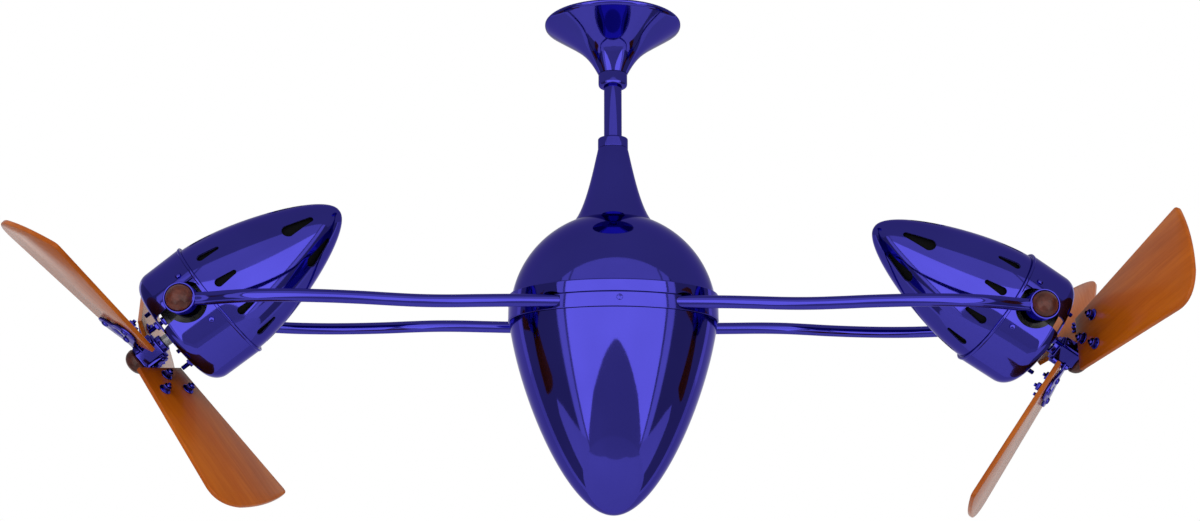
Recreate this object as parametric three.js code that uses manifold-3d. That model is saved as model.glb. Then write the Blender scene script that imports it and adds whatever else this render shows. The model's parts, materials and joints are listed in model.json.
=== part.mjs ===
// Twin head ceiling fan, built as an assembly of separate pieces.
// Millimetres, +Z up. The origin is the middle of the ceiling face of the hanging bracket,
// the arms run along X, and the fan hangs down to negative Z.

import * as THREE from 'three';
import { mergeVertices } from 'three/addons/utils/BufferGeometryUtils.js';
import Module from 'manifold-3d';

const wasm = await Module();
wasm.setup();

// ---------------------------------------------------------------- driving dimensions

// Fits
const seatGap = 0.3;             // between pieces that touch
const runningGap = 0.6;          // between pieces that turn past each other

// Ceiling bracket and canopy
const bracketStrapReach = 58;
const bracketStrapWidth = 28;
const bracketStrapThickness = 2.5;
const bracketLegThickness = 4;
const bracketLegWidth = 16;
const mountSlotReach = 38;       // bracket middle to the screw slots
const mountSlotRadius = 2.6;
const mountSlotLength = 12;
const ballRadius = 18;
const ballCentreDepth = 14;      // ceiling to the middle of the hanger ball
const ballTopCut = 8;            // ball middle to its flat top
const seatDepth = 12;            // ball middle to the bottom of its seat
const seatHeight = 6;
const seatRingRadius = 24;
const hangerPinRadius = 2.5;
const canopyCeilingGap = 1;
const canopyRimRadius = 73.4;
const canopyRimEdge = 2;
const canopyNeckRadius = 15.9;
const canopyHeight = 56;
const canopyWall = 1.6;
const canopyCollarRadius = 15.5;
const canopyCollarHeight = 14;
const canopyCollarSpigot = 6;

// Downrod and the fixed spindle that the carrier turns on
const rodRadius = 9.5;
const rodWall = 2.2;
const rodShown = 58;             // canopy collar to neck collar
const spindleRadius = 10;
const spindleBore = 5;
const spindleSocketRadius = 14;
const spindleSocketDepth = 28;
const spindleSocketLip = 6;      // socket above the slip ring
const spindleNutRadius = 16;
const spindleNutHeight = 9;
const spindleTail = 4;           // spindle shown below its nut

// Carrier: neck, dome, bands and bowl
const neckCollarRadius = 16;
const neckCollarBevel = 1.6;
const neckCollarHeight = 11.2;
const neckTopRadius = 15.9;
const neckHeight = 80;
const neckFlareTop = 4.6;
const neckFlareFoot = 13.6;
const creaseRadius = 42;
const shellWall = 1.8;
const domeRadius = 107;
const domeFootHeight = 19;       // arm plane to the dome's lower edge
const bandRadius = 108.8;
const bandWall = 5.8;
const splitHeight = 6.4;         // arm plane to the split between the two bands
const lowerBandDepth = 8.3;      // arm plane to the lower band's lower edge
const bandEdge = 0.8;
const domeSpigotHeight = 6;
const bandFlangeWidth = 6;
const bandFlangeThickness = 3;
const bowlRimRadius = 107.6;
const bowlDepth = 195.5;
const bowlShoulder = 70;         // length of the bowl's upper handle
const bowlShoulderDraft = 9;
const bowlTipRadius = 47;        // handle radius of the tip's curve

// Hub casting inside the body
const discThickness = 5;
const discRimGap = 0.8;
const columnRadius = 30;
const bearingRadius = 21;
const bearingHeight = 14;
const bearingSpacing = 64;       // between the inner faces of the two bearings
const columnBore = 16;
const saddleLength = 72;
const saddleWidth = 16;
const saddleCrown = 3;           // saddle above the arm tube
const armSocketGap = 16;         // between the two arm ends in one saddle
const lighteningRadius = 15;
const lighteningReach = 56;

// Slip ring and brushes
const slipRingRadius = 19;
const slipRingHeight = 24;
const slipRingLift = 12;         // spindle shoulder to slip ring
const brushBlockThickness = 7;
const brushBlockWidth = 14;
const brushThickness = 4;
const brushCount = 3;

// Arms, pivot cups and caps
const armTubeRadius = 6.35;
const armTubeWall = 1.4;
const armReach = 420;            // fan axis to the tilt axis of a head
const armSpread = 86;            // arm plane middle to the tube inside the body
const armWaistReach = 165;
const armWaistSpread = 82.3;
const armBulgeReach = 314;
const armBulgeSpread = 108;
const armEndSpread = 83.5;
const armStraightShort = 8;      // straight part ends this far inside the band radius
const armHipShift = 6;           // bend before the cup, off the line from bulge to cup
const armHipSpread = 4;
const bandNotchRadius = 9.5;
const cupRadius = 15.2;
const cupRimWall = 1.8;
const cupFace = 91;              // head middle to the cup's rim
const cupInnerFace = 60.9;
const cupBoreDepth = 13;
const capPlugDepth = 6.5;
const capDomeHeight = 9.5;
const boltRadius = 4;
const boltHeadRadius = 6.6;
const boltHeadHeight = 4.6;
const boltEngagement = 13;       // bolt past the cup's inner face

// Heads
const leftTiltUp = 39.2;         // degrees, nose above the horizontal as photographed
const rightTiltUp = 34.2;
const coverRadius = 66.6;
const coverMouthEndRadius = 65;
const coverNoseEnd = 22;         // tilt axis to the step
const coverShoulderStart = 19.5; // tilt axis to the start of the rounded shoulder
const coverShoulderRadius = 16.5;
const coverWall = 2;
const pivotHoleRadius = 20.4;
const pivotChannelWidth = 14;
const slitOffset = 16;
const slitWidth = 1.4;
const coverBead = 2.6;           // uncut hem left at the cover's wide end
const coneRadius = 63.4;
const coneLength = 150.6;
const coneWall = 1.8;
const coneSpigot = 4.6;
const coneShoulder = 52.5;
const coneShoulderRadius = 61.8;
const coneTipRadius = 26;        // handle radius of the tip's curve
const baseVentCount = 11;
const baseVentStart = 14;        // step to the wide end's middle
const baseVentLength = 17;
const baseVentWide = 4.4;
const baseVentNarrow = 2.6;
const noseVentCount = 6;
const noseVentStart = 97;
const noseVentLength = 24;
const noseVentWide = 6.6;
const noseVentNarrow = 2.9;
const baseVentPhase = 3;         // degrees from the front pivot to the first vent
const noseVentPhase = -5;

// Motors
const canRadius = 46;
const canWall = 2;
const canFront = 24;             // tilt axis to the bearing plate
const canBack = 50;
const canBossRadius = 14;
const canBossDepth = 12;
const statorBore = 26;
const statorFront = 14;
const statorBack = 34;
const airGap = 0.7;
const coreInset = 2;             // rotor core shorter than the stator at each end
const plateThickness = 4.7;
const plateBossHeight = 5;
const studRadius = 2.5;
const studCircle = 36;
const studEnd = 49;
const studNutRadius = 4.6;
const studNutHeight = 4;
const studPhase = 79;
const frameWidth = 18;
const frameWall = 4.6;
const frameBossRadius = 10;
const framePadWidth = 9;
const framePadAngle = 25;        // pad either side of the tilt axis
const framePadGap = 0.7;
const shaftRadius = 6;

// Rotors
const leftRotorPhase = -9.6;     // degrees, as photographed
const rightRotorPhase = 117.7;
const bladeCount = 3;
const bladePlane = 65.6;         // tilt axis to the blade face at its middle line
const bladePitch = 21;           // degrees
const bladeThickness = 4.5;
const bladeRootReach = 20;
const bladeRootHalf = 32;
const sweepRadius = 198.6;
const bladeHeelAngle = 17.3;     // degrees from the middle line to the square corner
const bladeToeHalf = 54;
const bladeToeReach = 190;
const bladeToeRound = 31;
const bladeHeelRound = 5;
const hubFlats = 24;             // across flats
const hubFront = 53;
const hubLength = 24;
const hubNeckRadius = 9;
const hubNeckLength = 5;
const shaftIntoHub = 18;
const ironThickness = 2.5;
const ironTabThickness = 3;
const ironTabWidth = 12;
const ironTabMargin = 2;         // tab short of each end of the hub
const ironNeckHalf = 8;
const ironRound = 9;
const ironSlotHalf = 3;
const rootBoltReach = 31;
const outerBoltReach = 50;
const outerBoltSpread = 18;
const bladeBoltRadius = 2.2;
const bladeBoltEnd = 8.5;        // bolt above the blade face
const bladeNutRadius = 4.6;
const bladeNutHeight = 4.2;
const screwHeadRadius = 3.6;
const screwHeadHeight = 2;
const finialRadius = 14;
const finialHeight = 13.5;

// Facets
const bodyFacets = 24;
const headFacets = 18;
const rodFacets = 12;
const smallFacets = 8;
const tubeFacets = 8;

// ---------------------------------------------------------------- worked-out heights

const canopyRimZ = -canopyCeilingGap;
const canopyNeckZ = canopyRimZ - canopyHeight;
const canopyCollarBottomZ = canopyNeckZ - seatGap - canopyCollarHeight;
const neckCollarTopZ = canopyCollarBottomZ - rodShown;
const neckTopZ = neckCollarTopZ - neckCollarHeight - seatGap;
const creaseZ = neckTopZ - neckHeight;
const creaseLift = Math.sqrt(domeRadius ** 2 - creaseRadius ** 2);
const armPlaneZ = creaseZ - creaseLift;
const neckTopLift = neckTopZ - armPlaneZ;
const bearingInner = bearingSpacing / 2;
const bearingOuter = bearingInner + bearingHeight;
const spindleShoulder = bearingOuter + seatGap;
const socketTop = spindleShoulder + slipRingLift + slipRingHeight + spindleSocketLip;
const socketFloor = socketTop - spindleSocketDepth;
const rodTopZ = -(ballCentreDepth - ballTopCut);
const rodBottomZ = armPlaneZ + socketFloor + seatGap;
const discTop = -(lowerBandDepth + seatGap);
const discBottom = discTop - discThickness;
const discRadius = bandRadius - bandWall - discRimGap;
const hubOuterEnd = hubFront + hubLength;

// ---------------------------------------------------------------- finishes

const finish = (color, metalness, roughness) => () =>
  new THREE.MeshStandardMaterial({ color, metalness, roughness });

const blueChrome = finish(0x3a35a0, 1, 0.08);
const plainSteel = finish(0x8d9096, 1, 0.4);
const castMetal = finish(0x777a80, 0.9, 0.55);
const blackMotor = finish(0x17171c, 0.4, 0.55);
const copperBrass = finish(0xb07a45, 1, 0.35);
const darkPlastic = finish(0x222226, 0, 0.6);
const bladeWood = finish(0x984e26, 0, 0.3);
const turnedWood = finish(0x5a3024, 0, 0.35);

// ---------------------------------------------------------------- solid helpers

const radians = THREE.MathUtils.degToRad;
const point = (r, z) => new THREE.Vector2(r, z);

function signedVolume(position, index) {
  const a = new THREE.Vector3();
  const b = new THREE.Vector3();
  const c = new THREE.Vector3();
  let sum = 0;
  for (let i = 0; i < index.length; i += 3) {
    a.fromBufferAttribute(position, index[i]);
    b.fromBufferAttribute(position, index[i + 1]);
    c.fromBufferAttribute(position, index[i + 2]);
    sum += a.dot(b.cross(c));
  }
  return sum / 6;
}

// A closed three.js geometry as a solid with its faces pointing out.
function toSolid(geometry) {
  const bare = geometry.clone();
  bare.deleteAttribute('normal');
  bare.deleteAttribute('uv');
  const merged = mergeVertices(bare, 1e-4);
  const corners = Array.from(merged.index.array);
  let index = [];
  for (let i = 0; i < corners.length; i += 3) {
    const [a, b, c] = corners.slice(i, i + 3);
    if (a !== b && b !== c && c !== a) index.push(a, b, c);
  }
  if (signedVolume(merged.attributes.position, index) < 0) index = index.reverse();
  return new wasm.Manifold(new wasm.Mesh({
    numProp: 3,
    vertProperties: new Float32Array(merged.attributes.position.array),
    triVerts: new Uint32Array(index),
  }));
}

function toGeometry(solid) {
  const mesh = solid.getMesh();
  const geometry = new THREE.BufferGeometry();
  geometry.setAttribute('position', new THREE.BufferAttribute(mesh.vertProperties, 3));
  geometry.setIndex(new THREE.BufferAttribute(mesh.triVerts, 1));
  geometry.computeVertexNormals();
  return geometry;
}

const joined = (solids) => solids.reduce((sum, next) => sum.add(next));
const without = (solid, cutters) => cutters.reduce((rest, next) => rest.subtract(next), solid);

// A closed outline of radius and height turned about Z.
function turned(outline, facets) {
  const closed = [...outline, outline[0]];
  const onAxis = outline[0].x === 0 && outline[outline.length - 1].x === 0;
  const geometry = new THREE.LatheGeometry(onAxis ? outline : closed, facets);
  return toSolid(geometry.rotateX(Math.PI / 2));
}

// A ring between two radii and two heights.
const ring = (inner, outer, low, high, facets) =>
  turned([point(inner, low), point(outer, low), point(outer, high), point(inner, high)], facets);

// A cylinder from one height to another along Z.
const rod = (radius, low, high, facets) =>
  toSolid(new THREE.CylinderGeometry(radius, radius, high - low, facets)
    .rotateX(Math.PI / 2)
    .translate(0, 0, (low + high) / 2));

// The same cylinder laid along Y, or along X.
const rodAlongY = (radius, low, high, facets) =>
  toSolid(new THREE.CylinderGeometry(radius, radius, high - low, facets)
    .translate(0, (low + high) / 2, 0));
const rodAlongX = (radius, low, high, facets) =>
  toSolid(new THREE.CylinderGeometry(radius, radius, high - low, facets)
    .rotateZ(Math.PI / 2)
    .translate((low + high) / 2, 0, 0));

const block = (x0, x1, y0, y1, z0, z1) =>
  toSolid(new THREE.BoxGeometry(x1 - x0, y1 - y0, z1 - z0)
    .translate((x0 + x1) / 2, (y0 + y1) / 2, (z0 + z1) / 2));

const spun = (solid, degrees) => solid.rotate([0, 0, degrees]);
const spread = (count, make) => Array.from({ length: count }, (_, i) => make(i, (360 * i) / count));

// Points of a cubic curve between two profile points.
const curved = (a, b, c, d, steps) => new THREE.CubicBezierCurve(a, b, c, d).getPoints(steps);

// Points of a circle about a profile point, between two angles in degrees.
function arc(centre, radius, from, to, steps) {
  const points = [];
  for (let i = 0; i <= steps; i += 1) {
    const angle = radians(from + ((to - from) * i) / steps);
    points.push(point(centre.x + radius * Math.cos(angle), centre.y + radius * Math.sin(angle)));
  }
  return points;
}

function piece(name, solid, material, parent) {
  const mesh = new THREE.Mesh(toGeometry(solid), material());
  mesh.name = name;
  parent.add(mesh);
  return mesh;
}

// ---------------------------------------------------------------- ceiling mount

function ceilingBracket() {
  const seatBottom = -(ballCentreDepth + seatDepth);
  const seatTop = seatBottom + seatHeight;
  const seatProfile = [point(seatRingRadius, seatTop), point(seatRingRadius, seatBottom)];
  const seatSteps = 3;
  for (let i = 0; i <= seatSteps; i += 1) {
    const z = seatBottom + (seatHeight * i) / seatSteps;
    const fall = z + ballCentreDepth;
    seatProfile.push(point(Math.sqrt((ballRadius + seatGap) ** 2 - fall ** 2), z));
  }
  const legOuter = seatRingRadius;
  const legInner = legOuter - bracketLegThickness;
  const half = bracketLegWidth / 2;
  const legs = [-1, 1].map((side) => block(
    Math.min(side * legInner, side * legOuter), Math.max(side * legInner, side * legOuter),
    -half, half, seatTop - 1, -bracketStrapThickness / 2));
  const strap = block(-bracketStrapReach, bracketStrapReach,
    -bracketStrapWidth / 2, bracketStrapWidth / 2, -bracketStrapThickness, 0);
  const slots = [-1, 1].map((side) => block(
    side * mountSlotReach - mountSlotRadius, side * mountSlotReach + mountSlotRadius,
    -mountSlotLength / 2, mountSlotLength / 2, -bracketStrapThickness - 1, 1));
  return without(joined([strap, turned(seatProfile, rodFacets), ...legs]), slots);
}

function hangerBall() {
  const topAngle = THREE.MathUtils.radToDeg(Math.asin(ballTopCut / ballRadius));
  const footAngle = -THREE.MathUtils.radToDeg(Math.asin(seatDepth / ballRadius));
  const shell = turned([
    point(rodRadius + seatGap, -seatDepth),
    ...arc(point(0, 0), ballRadius, footAngle, topAngle, 5),
    point(rodRadius + seatGap, ballTopCut),
  ], rodFacets);
  const pin = rodAlongX(hangerPinRadius, -ballRadius * 0.8, ballRadius * 0.8, smallFacets);
  return shell.add(pin).translate([0, 0, -ballCentreDepth]);
}

function canopy() {
  const neckRise = (fraction) => canopyNeckZ + canopyHeight * fraction;
  const flare = (radius, span) => radius + (canopyRimRadius - canopyNeckRadius) * span;
  const surface = (inset, top, steps) => curved(
    point(canopyNeckRadius - inset, canopyNeckZ),
    point(flare(canopyNeckRadius, 0.24) - inset, neckRise(0.49)),
    point(flare(canopyNeckRadius, 0.41) - inset, neckRise(0.54)),
    point(canopyRimRadius - inset, top), steps);
  return turned([
    ...surface(0, canopyRimZ - canopyRimEdge, 6),
    point(canopyRimRadius, canopyRimZ),
    ...surface(canopyWall, canopyRimZ, 5).reverse(),
  ], bodyFacets);
}

function canopyCollar() {
  const top = canopyNeckZ - seatGap;
  const bevel = 2.5;
  const bore = rodRadius + seatGap;
  const spigot = canopyNeckRadius - canopyWall - 2 * seatGap;
  return turned([
    point(bore, canopyCollarBottomZ),
    point(canopyCollarRadius - bevel, canopyCollarBottomZ),
    point(canopyCollarRadius, canopyCollarBottomZ + bevel),
    point(canopyCollarRadius, top),
    point(spigot, top),
    point(spigot, top + canopyCollarSpigot),
    point(bore, top + canopyCollarSpigot),
  ], rodFacets);
}

function downrod() {
  const tube = ring(rodRadius - rodWall, rodRadius, rodBottomZ, rodTopZ, rodFacets);
  const pinHole = rodAlongX(hangerPinRadius + seatGap, -rodRadius - 1, rodRadius + 1, smallFacets)
    .translate([0, 0, -ballCentreDepth]);
  return tube.subtract(pinHole);
}

function spindle() {
  const tail = -(bearingOuter + seatGap + spindleNutHeight + spindleTail);
  return turned([
    point(spindleBore, tail),
    point(spindleRadius, tail),
    point(spindleRadius, spindleShoulder),
    point(spindleSocketRadius, spindleShoulder),
    point(spindleSocketRadius, socketTop),
    point(rodRadius + seatGap, socketTop),
    point(rodRadius + seatGap, socketFloor),
    point(spindleBore, socketFloor),
  ], rodFacets);
}

function spindleNut() {
  const top = -(bearingOuter + seatGap);
  const hexagon = rod(spindleNutRadius, top - spindleNutHeight, top, 6);
  return hexagon.subtract(rod(spindleRadius + seatGap, top - spindleNutHeight - 1, top + 1, rodFacets));
}

function slipRing() {
  const low = spindleShoulder + slipRingLift;
  const track = slipRingHeight / (2 * brushCount + 1);
  const outline = [point(spindleSocketRadius + seatGap, low)];
  for (let i = 0; i <= 2 * brushCount; i += 1) {
    const radius = i % 2 ? slipRingRadius - 1 : slipRingRadius;
    outline.push(point(radius, low + track * i), point(radius, low + track * (i + 1)));
  }
  outline.push(point(spindleSocketRadius + seatGap, low + slipRingHeight));
  return turned(outline, rodFacets);
}

// ---------------------------------------------------------------- carrier

function neckCollar() {
  const low = neckTopLift + seatGap;
  const high = low + neckCollarHeight;
  const bore = rodRadius + runningGap;
  return turned([
    point(bore, low),
    point(neckCollarRadius, low),
    point(neckCollarRadius, high - neckCollarBevel),
    point(neckCollarRadius - neckCollarBevel, high),
    point(bore, high),
  ], rodFacets);
}

function domeShell() {
  const surface = (inset, domeSteps, neckSteps) => {
    const radius = domeRadius - inset;
    const foot = THREE.MathUtils.radToDeg(Math.asin(domeFootHeight / radius));
    const crease = THREE.MathUtils.radToDeg(Math.acos((creaseRadius - inset) / radius));
    const creasePoint = point((creaseRadius - inset), Math.sqrt(radius ** 2 - (creaseRadius - inset) ** 2));
    const neck = curved(
      creasePoint,
      point(creaseRadius - neckFlareFoot - inset, creasePoint.y + neckHeight * 0.2),
      point(neckTopRadius + neckFlareTop - inset, neckTopLift - neckHeight * 0.25),
      point(neckTopRadius - inset, neckTopLift), neckSteps);
    return [...arc(point(0, 0), radius, foot, crease, domeSteps).slice(0, -1), ...neck];
  };
  return turned([...surface(0, 6, 5), ...surface(shellWall, 4, 4).reverse()], bodyFacets);
}

// Room for the four arm tubes where they pass a band.
const armPassages = (radius) => [-1, 1].map((side) =>
  rodAlongX(radius, -bandRadius, bandRadius, smallFacets).translate([0, side * armSpread, 0]));

function upperBand() {
  const inner = bandRadius - bandWall;
  const low = splitHeight + seatGap / 2;
  const high = domeFootHeight - seatGap;
  const spigot = Math.sqrt((domeRadius - shellWall) ** 2 - (domeFootHeight + domeSpigotHeight) ** 2) - 2 * seatGap;
  const body = turned([
    point(inner, low),
    point(bandRadius - bandEdge, low),
    point(bandRadius, low + bandEdge),
    point(bandRadius, high - bandEdge),
    point(bandRadius - bandEdge, high),
    point(spigot, high),
    point(spigot, high + domeSpigotHeight),
    point(spigot - shellWall, high + domeSpigotHeight),
    point(spigot - shellWall, low + bandFlangeThickness),
    point(inner, low + bandFlangeThickness),
  ], bodyFacets);
  return without(body, armPassages(bandNotchRadius));
}

function lowerBand() {
  const inner = bandRadius - bandWall;
  const low = -lowerBandDepth;
  const high = splitHeight - seatGap / 2;
  const body = turned([
    point(inner - bandFlangeWidth, low),
    point(bandRadius - bandEdge, low),
    point(bandRadius, low + bandEdge),
    point(bandRadius, high - bandEdge),
    point(bandRadius - bandEdge, high),
    point(inner, high),
    point(inner, low + bandFlangeThickness),
    point(inner - bandFlangeWidth, low + bandFlangeThickness),
  ], bodyFacets);
  const saddleHalf = saddleLength / 2 + 2;
  const saddleRoom = block(-saddleHalf, saddleHalf, -bandRadius, bandRadius, low - 1, high + 1)
    .intersect(rod(inner + 0.1, low - 1, high + 1, bodyFacets));
  return without(body, [saddleRoom, ...armPassages(armTubeRadius + seatGap + 0.2)]);
}

function bowlShell() {
  const top = -(lowerBandDepth + seatGap);
  const tip = -(lowerBandDepth + bowlDepth);
  const surface = (inset, steps) => curved(
    point(bowlRimRadius - inset, top),
    point(bowlRimRadius - bowlShoulderDraft - inset, top - bowlShoulder),
    point(bowlTipRadius - inset, tip + inset),
    point(0, tip + inset), steps);
  const ledgeTop = discBottom - seatGap;
  const ledgeFoot = ledgeTop - bandFlangeThickness;
  const shell = turned([...surface(0, 8).reverse(), ...surface(shellWall, 6)], bodyFacets);
  const rimInner = bowlRimRadius - shellWall;
  const ledge = ring(discRadius - bandFlangeWidth, rimInner, ledgeFoot, ledgeTop, bodyFacets);
  return shell.add(ledge);
}

function hubCasting() {
  const column = turned([
    point(columnRadius, -bearingOuter),
    point(columnRadius, bearingOuter),
    point(bearingRadius + seatGap, bearingOuter),
    point(bearingRadius + seatGap, bearingInner - seatGap),
    point(columnBore, bearingInner - seatGap),
    point(columnBore, -bearingInner + seatGap),
    point(bearingRadius + seatGap, -bearingInner + seatGap),
    point(bearingRadius + seatGap, -bearingOuter),
  ], rodFacets);
  const disc = ring(columnRadius - 2, discRadius, discBottom, discTop, bodyFacets);
  const half = saddleLength / 2;
  const crown = armTubeRadius + saddleCrown;
  const saddles = [-1, 1].map((side) => block(
    -half, half,
    side * armSpread - saddleWidth / 2, side * armSpread + saddleWidth / 2,
    discTop - 1, crown));
  const sockets = [-1, 1].flatMap((side) => [-1, 1].map((end) => rodAlongX(
    armTubeRadius + seatGap,
    end < 0 ? -half - 1 : armSocketGap / 2,
    end < 0 ? -armSocketGap / 2 : half + 1,
    tubeFacets + 4).translate([0, side * armSpread, 0])));
  const windows = spread(4, (_, angle) =>
    spun(rod(lighteningRadius, discBottom - 1, discTop + 1, smallFacets).translate([lighteningReach, 0, 0]), angle));
  return without(joined([column, disc, ...saddles]), [...sockets, ...windows]);
}

const mainBearing = (side) => ring(
  spindleRadius + runningGap, bearingRadius,
  side > 0 ? bearingInner : -bearingOuter,
  side > 0 ? bearingOuter : -bearingInner, rodFacets);

function brushBlock() {
  const foot = bearingOuter + seatGap;
  const low = spindleShoulder + slipRingLift;
  const inner = slipRingRadius + 3.5;
  const half = brushBlockWidth / 2;
  const post = block(inner, inner + brushBlockThickness, -half, half, foot, low + slipRingHeight);
  const pitch = slipRingHeight / brushCount;
  const brushes = Array.from({ length: brushCount }, (_, i) => {
    const middle = low + pitch * (i + 0.5);
    return block(slipRingRadius + seatGap, inner + 1, -brushThickness / 2, brushThickness / 2,
      middle - brushThickness / 2, middle + brushThickness / 2);
  });
  return joined([post, ...brushes]);
}

// ---------------------------------------------------------------- arms

// One arm, drawn for the right rear; the others are its mirror images.
function armSolid(sideX, sideY) {
  const start = armSocketGap / 2 + 1;
  const straightEnd = bandRadius - armStraightShort;
  const cupSide = armReach - cupRadius + 1.2;
  const path = new THREE.CatmullRomCurve3([
    new THREE.Vector3(start, armSpread, 0),
    new THREE.Vector3(straightEnd / 2, armSpread, 0),
    new THREE.Vector3(straightEnd, armSpread, 0),
    new THREE.Vector3(armWaistReach, armWaistSpread, 0),
    new THREE.Vector3((armWaistReach + armBulgeReach) / 2, (armWaistSpread + armBulgeSpread) / 2, 0),
    new THREE.Vector3(armBulgeReach, armBulgeSpread, 0),
    new THREE.Vector3((armBulgeReach + cupSide) / 2 + armHipShift,
      (armBulgeSpread + armEndSpread) / 2 + armHipSpread, 0),
    new THREE.Vector3(cupSide, armEndSpread, 0),
  ], false, 'centripetal');
  const tubeShape = (radius, facets) => new THREE.Shape(
    new THREE.EllipseCurve(0, 0, radius, radius).getPoints(facets).slice(0, -1));
  const steps = 11;
  const sweep = (radius, facets) => toSolid(new THREE.ExtrudeGeometry(
    tubeShape(radius, facets), { steps, bevelEnabled: false, extrudePath: path }));
  const tube = sweep(armTubeRadius, tubeFacets).subtract(sweep(armTubeRadius - armTubeWall, tubeFacets - 3));
  const cup = rodAlongY(cupRadius, cupInnerFace, cupFace, rodFacets).translate([armReach, 0, 0]);
  const bore = rodAlongY(cupRadius - cupRimWall, cupFace - cupBoreDepth, cupFace + 1, rodFacets);
  const boltHole = rodAlongY(boltRadius + seatGap, cupInnerFace - 1, cupFace, smallFacets);
  const whole = without(tube.add(cup), [bore, boltHole].map((cut) => cut.translate([armReach, 0, 0])));
  const mirrored = whole.scale([sideX, sideY, 1]);
  return mirrored;
}

function pivotBolt(sideY) {
  const seat = cupFace - cupBoreDepth + seatGap;
  const head = rodAlongY(boltHeadRadius, seat, seat + boltHeadHeight, 6);
  const shank = rodAlongY(boltRadius, cupInnerFace - boltEngagement, seat + 1, smallFacets);
  return head.add(shank).scale([1, sideY, 1]);
}

function woodCap(sideY) {
  const radius = cupRadius - cupRimWall - seatGap;
  const sphere = (radius ** 2 + capDomeHeight ** 2) / (2 * capDomeHeight);
  const edge = THREE.MathUtils.radToDeg(Math.asin((sphere - capDomeHeight) / sphere));
  const dome = arc(point(0, cupFace - (sphere - capDomeHeight)), sphere, edge, 90, 3);
  dome[dome.length - 1].x = 0;
  const solid = turned([point(0, cupFace - capPlugDepth), point(radius, cupFace - capPlugDepth), ...dome], rodFacets);
  return solid.rotate([-90, 0, 0]).scale([1, sideY, 1]);
}

// ---------------------------------------------------------------- heads
// Drawn about the tilt axis: +Z is the nose, the pivots lie along Y.

// A slot with one wide and one narrow round end, cut square through a wall of the cone.
function ventCutter(start, length, wide, narrow, reach) {
  const steps = 2;
  const lean = Math.asin((wide - narrow) / length);
  const outline = [];
  for (let i = 0; i <= steps; i += 1) {
    const angle = Math.PI / 2 + lean + ((Math.PI - 2 * lean) * i) / steps;
    outline.push(point(wide * Math.cos(angle), wide * Math.sin(angle)));
  }
  for (let i = 0; i <= steps; i += 1) {
    const angle = -Math.PI / 2 - lean + ((Math.PI + 2 * lean) * i) / steps;
    outline.push(point(length + narrow * Math.cos(angle), narrow * Math.sin(angle)));
  }
  const prism = new THREE.ExtrudeGeometry(new THREE.Shape(outline), { depth: reach, bevelEnabled: false });
  return toSolid(prism.rotateY(-Math.PI / 2).translate(0, 0, start)).rotate([0, 0, -90]);
}

// The two heads are mirror images in where their vents start.
function noseCone(side) {
  const ventTurn = (phase) => (side === 'left' ? 180 + phase : -phase);
  const foot = coverNoseEnd - seatGap;
  const tip = coverNoseEnd + coneLength;
  const spigot = coverRadius - coverWall - seatGap;
  const surface = (inset, steps) => curved(
    point(coneRadius - inset, foot),
    point(coneShoulderRadius - inset, coverNoseEnd + coneShoulder),
    point(coneTipRadius - inset, tip - inset),
    point(0, tip - inset), steps);
  const inner = surface(coneWall, 5);
  const shell = turned([
    ...surface(0, 7).reverse(),
    point(spigot, foot),
    point(spigot, coverNoseEnd - coneSpigot),
    point(coneRadius - coneWall, coverNoseEnd - coneSpigot),
    ...inner,
  ], headFacets);
  const vents = [
    ...spread(baseVentCount, (_, angle) => spun(ventCutter(
      coverNoseEnd + baseVentStart, baseVentLength, baseVentWide, baseVentNarrow, coverRadius + 4),
    angle + ventTurn(baseVentPhase))),
    ...spread(noseVentCount, (_, angle) => spun(ventCutter(
      coverNoseEnd + noseVentStart, noseVentLength, noseVentWide, noseVentNarrow, coverRadius),
    angle + ventTurn(noseVentPhase))),
  ];
  return without(shell, vents);
}

function motorCover() {
  const shoulder = (radius) => arc(
    point(coverMouthEndRadius - coverShoulderRadius, -coverShoulderStart),
    coverShoulderRadius - coverWall + radius, -90, 0, 3);
  const shell = turned([
    ...shoulder(coverWall),
    point(coverRadius, coverNoseEnd),
    point(coverRadius - coverWall, coverNoseEnd),
    ...shoulder(0).reverse(),
  ], headFacets);
  const inside = canRadius + 2;
  const outside = coverRadius + 2;
  const mouthEnd = -(coverShoulderStart + coverShoulderRadius + 1);
  const cuts = [-1, 1].flatMap((side) => {
    const low = Math.min(side * inside, side * outside);
    const high = Math.max(side * inside, side * outside);
    return [
      rodAlongY(pivotHoleRadius, low, high, rodFacets),
      block(-pivotChannelWidth / 2, pivotChannelWidth / 2, low, high, mouthEnd, 0),
      block(-slitOffset - slitWidth / 2, -slitOffset + slitWidth / 2, low, high, 0, coverNoseEnd - coverBead),
    ];
  });
  return without(shell, cuts);
}

function tiltFrame() {
  const half = frameWidth / 2;
  const inner = canRadius + seatGap + 0.1;
  const outer = inner + frameWall;
  const wallAt = coverMouthEndRadius - coverWall;
  const padEnd = wallAt + ((coverRadius - coverMouthEndRadius) * coverShoulderStart)
    / (coverNoseEnd + coverShoulderStart) - framePadGap;
  const hoop = ring(inner, outer, -half, half, headFacets);
  const bosses = [-1, 1].map((side) => rodAlongY(frameBossRadius,
    side > 0 ? inner + 1 : -(cupInnerFace - seatGap),
    side > 0 ? cupInnerFace - seatGap : -(inner + 1), rodFacets));
  const pads = [90 - framePadAngle, 90 + framePadAngle, 270 - framePadAngle, 270 + framePadAngle]
    .map((angle) => spun(block(inner + 1, padEnd + 2, -framePadWidth / 2, framePadWidth / 2, -half + 4, half), angle));
  const limit = rod(padEnd, -half - 1, half + 1, headFacets);
  const bore = rodAlongY(boltRadius + runningGap, -cupInnerFace, cupInnerFace, smallFacets);
  return joined([hoop, joined(pads).intersect(limit), ...bosses]).subtract(bore);
}

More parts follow.
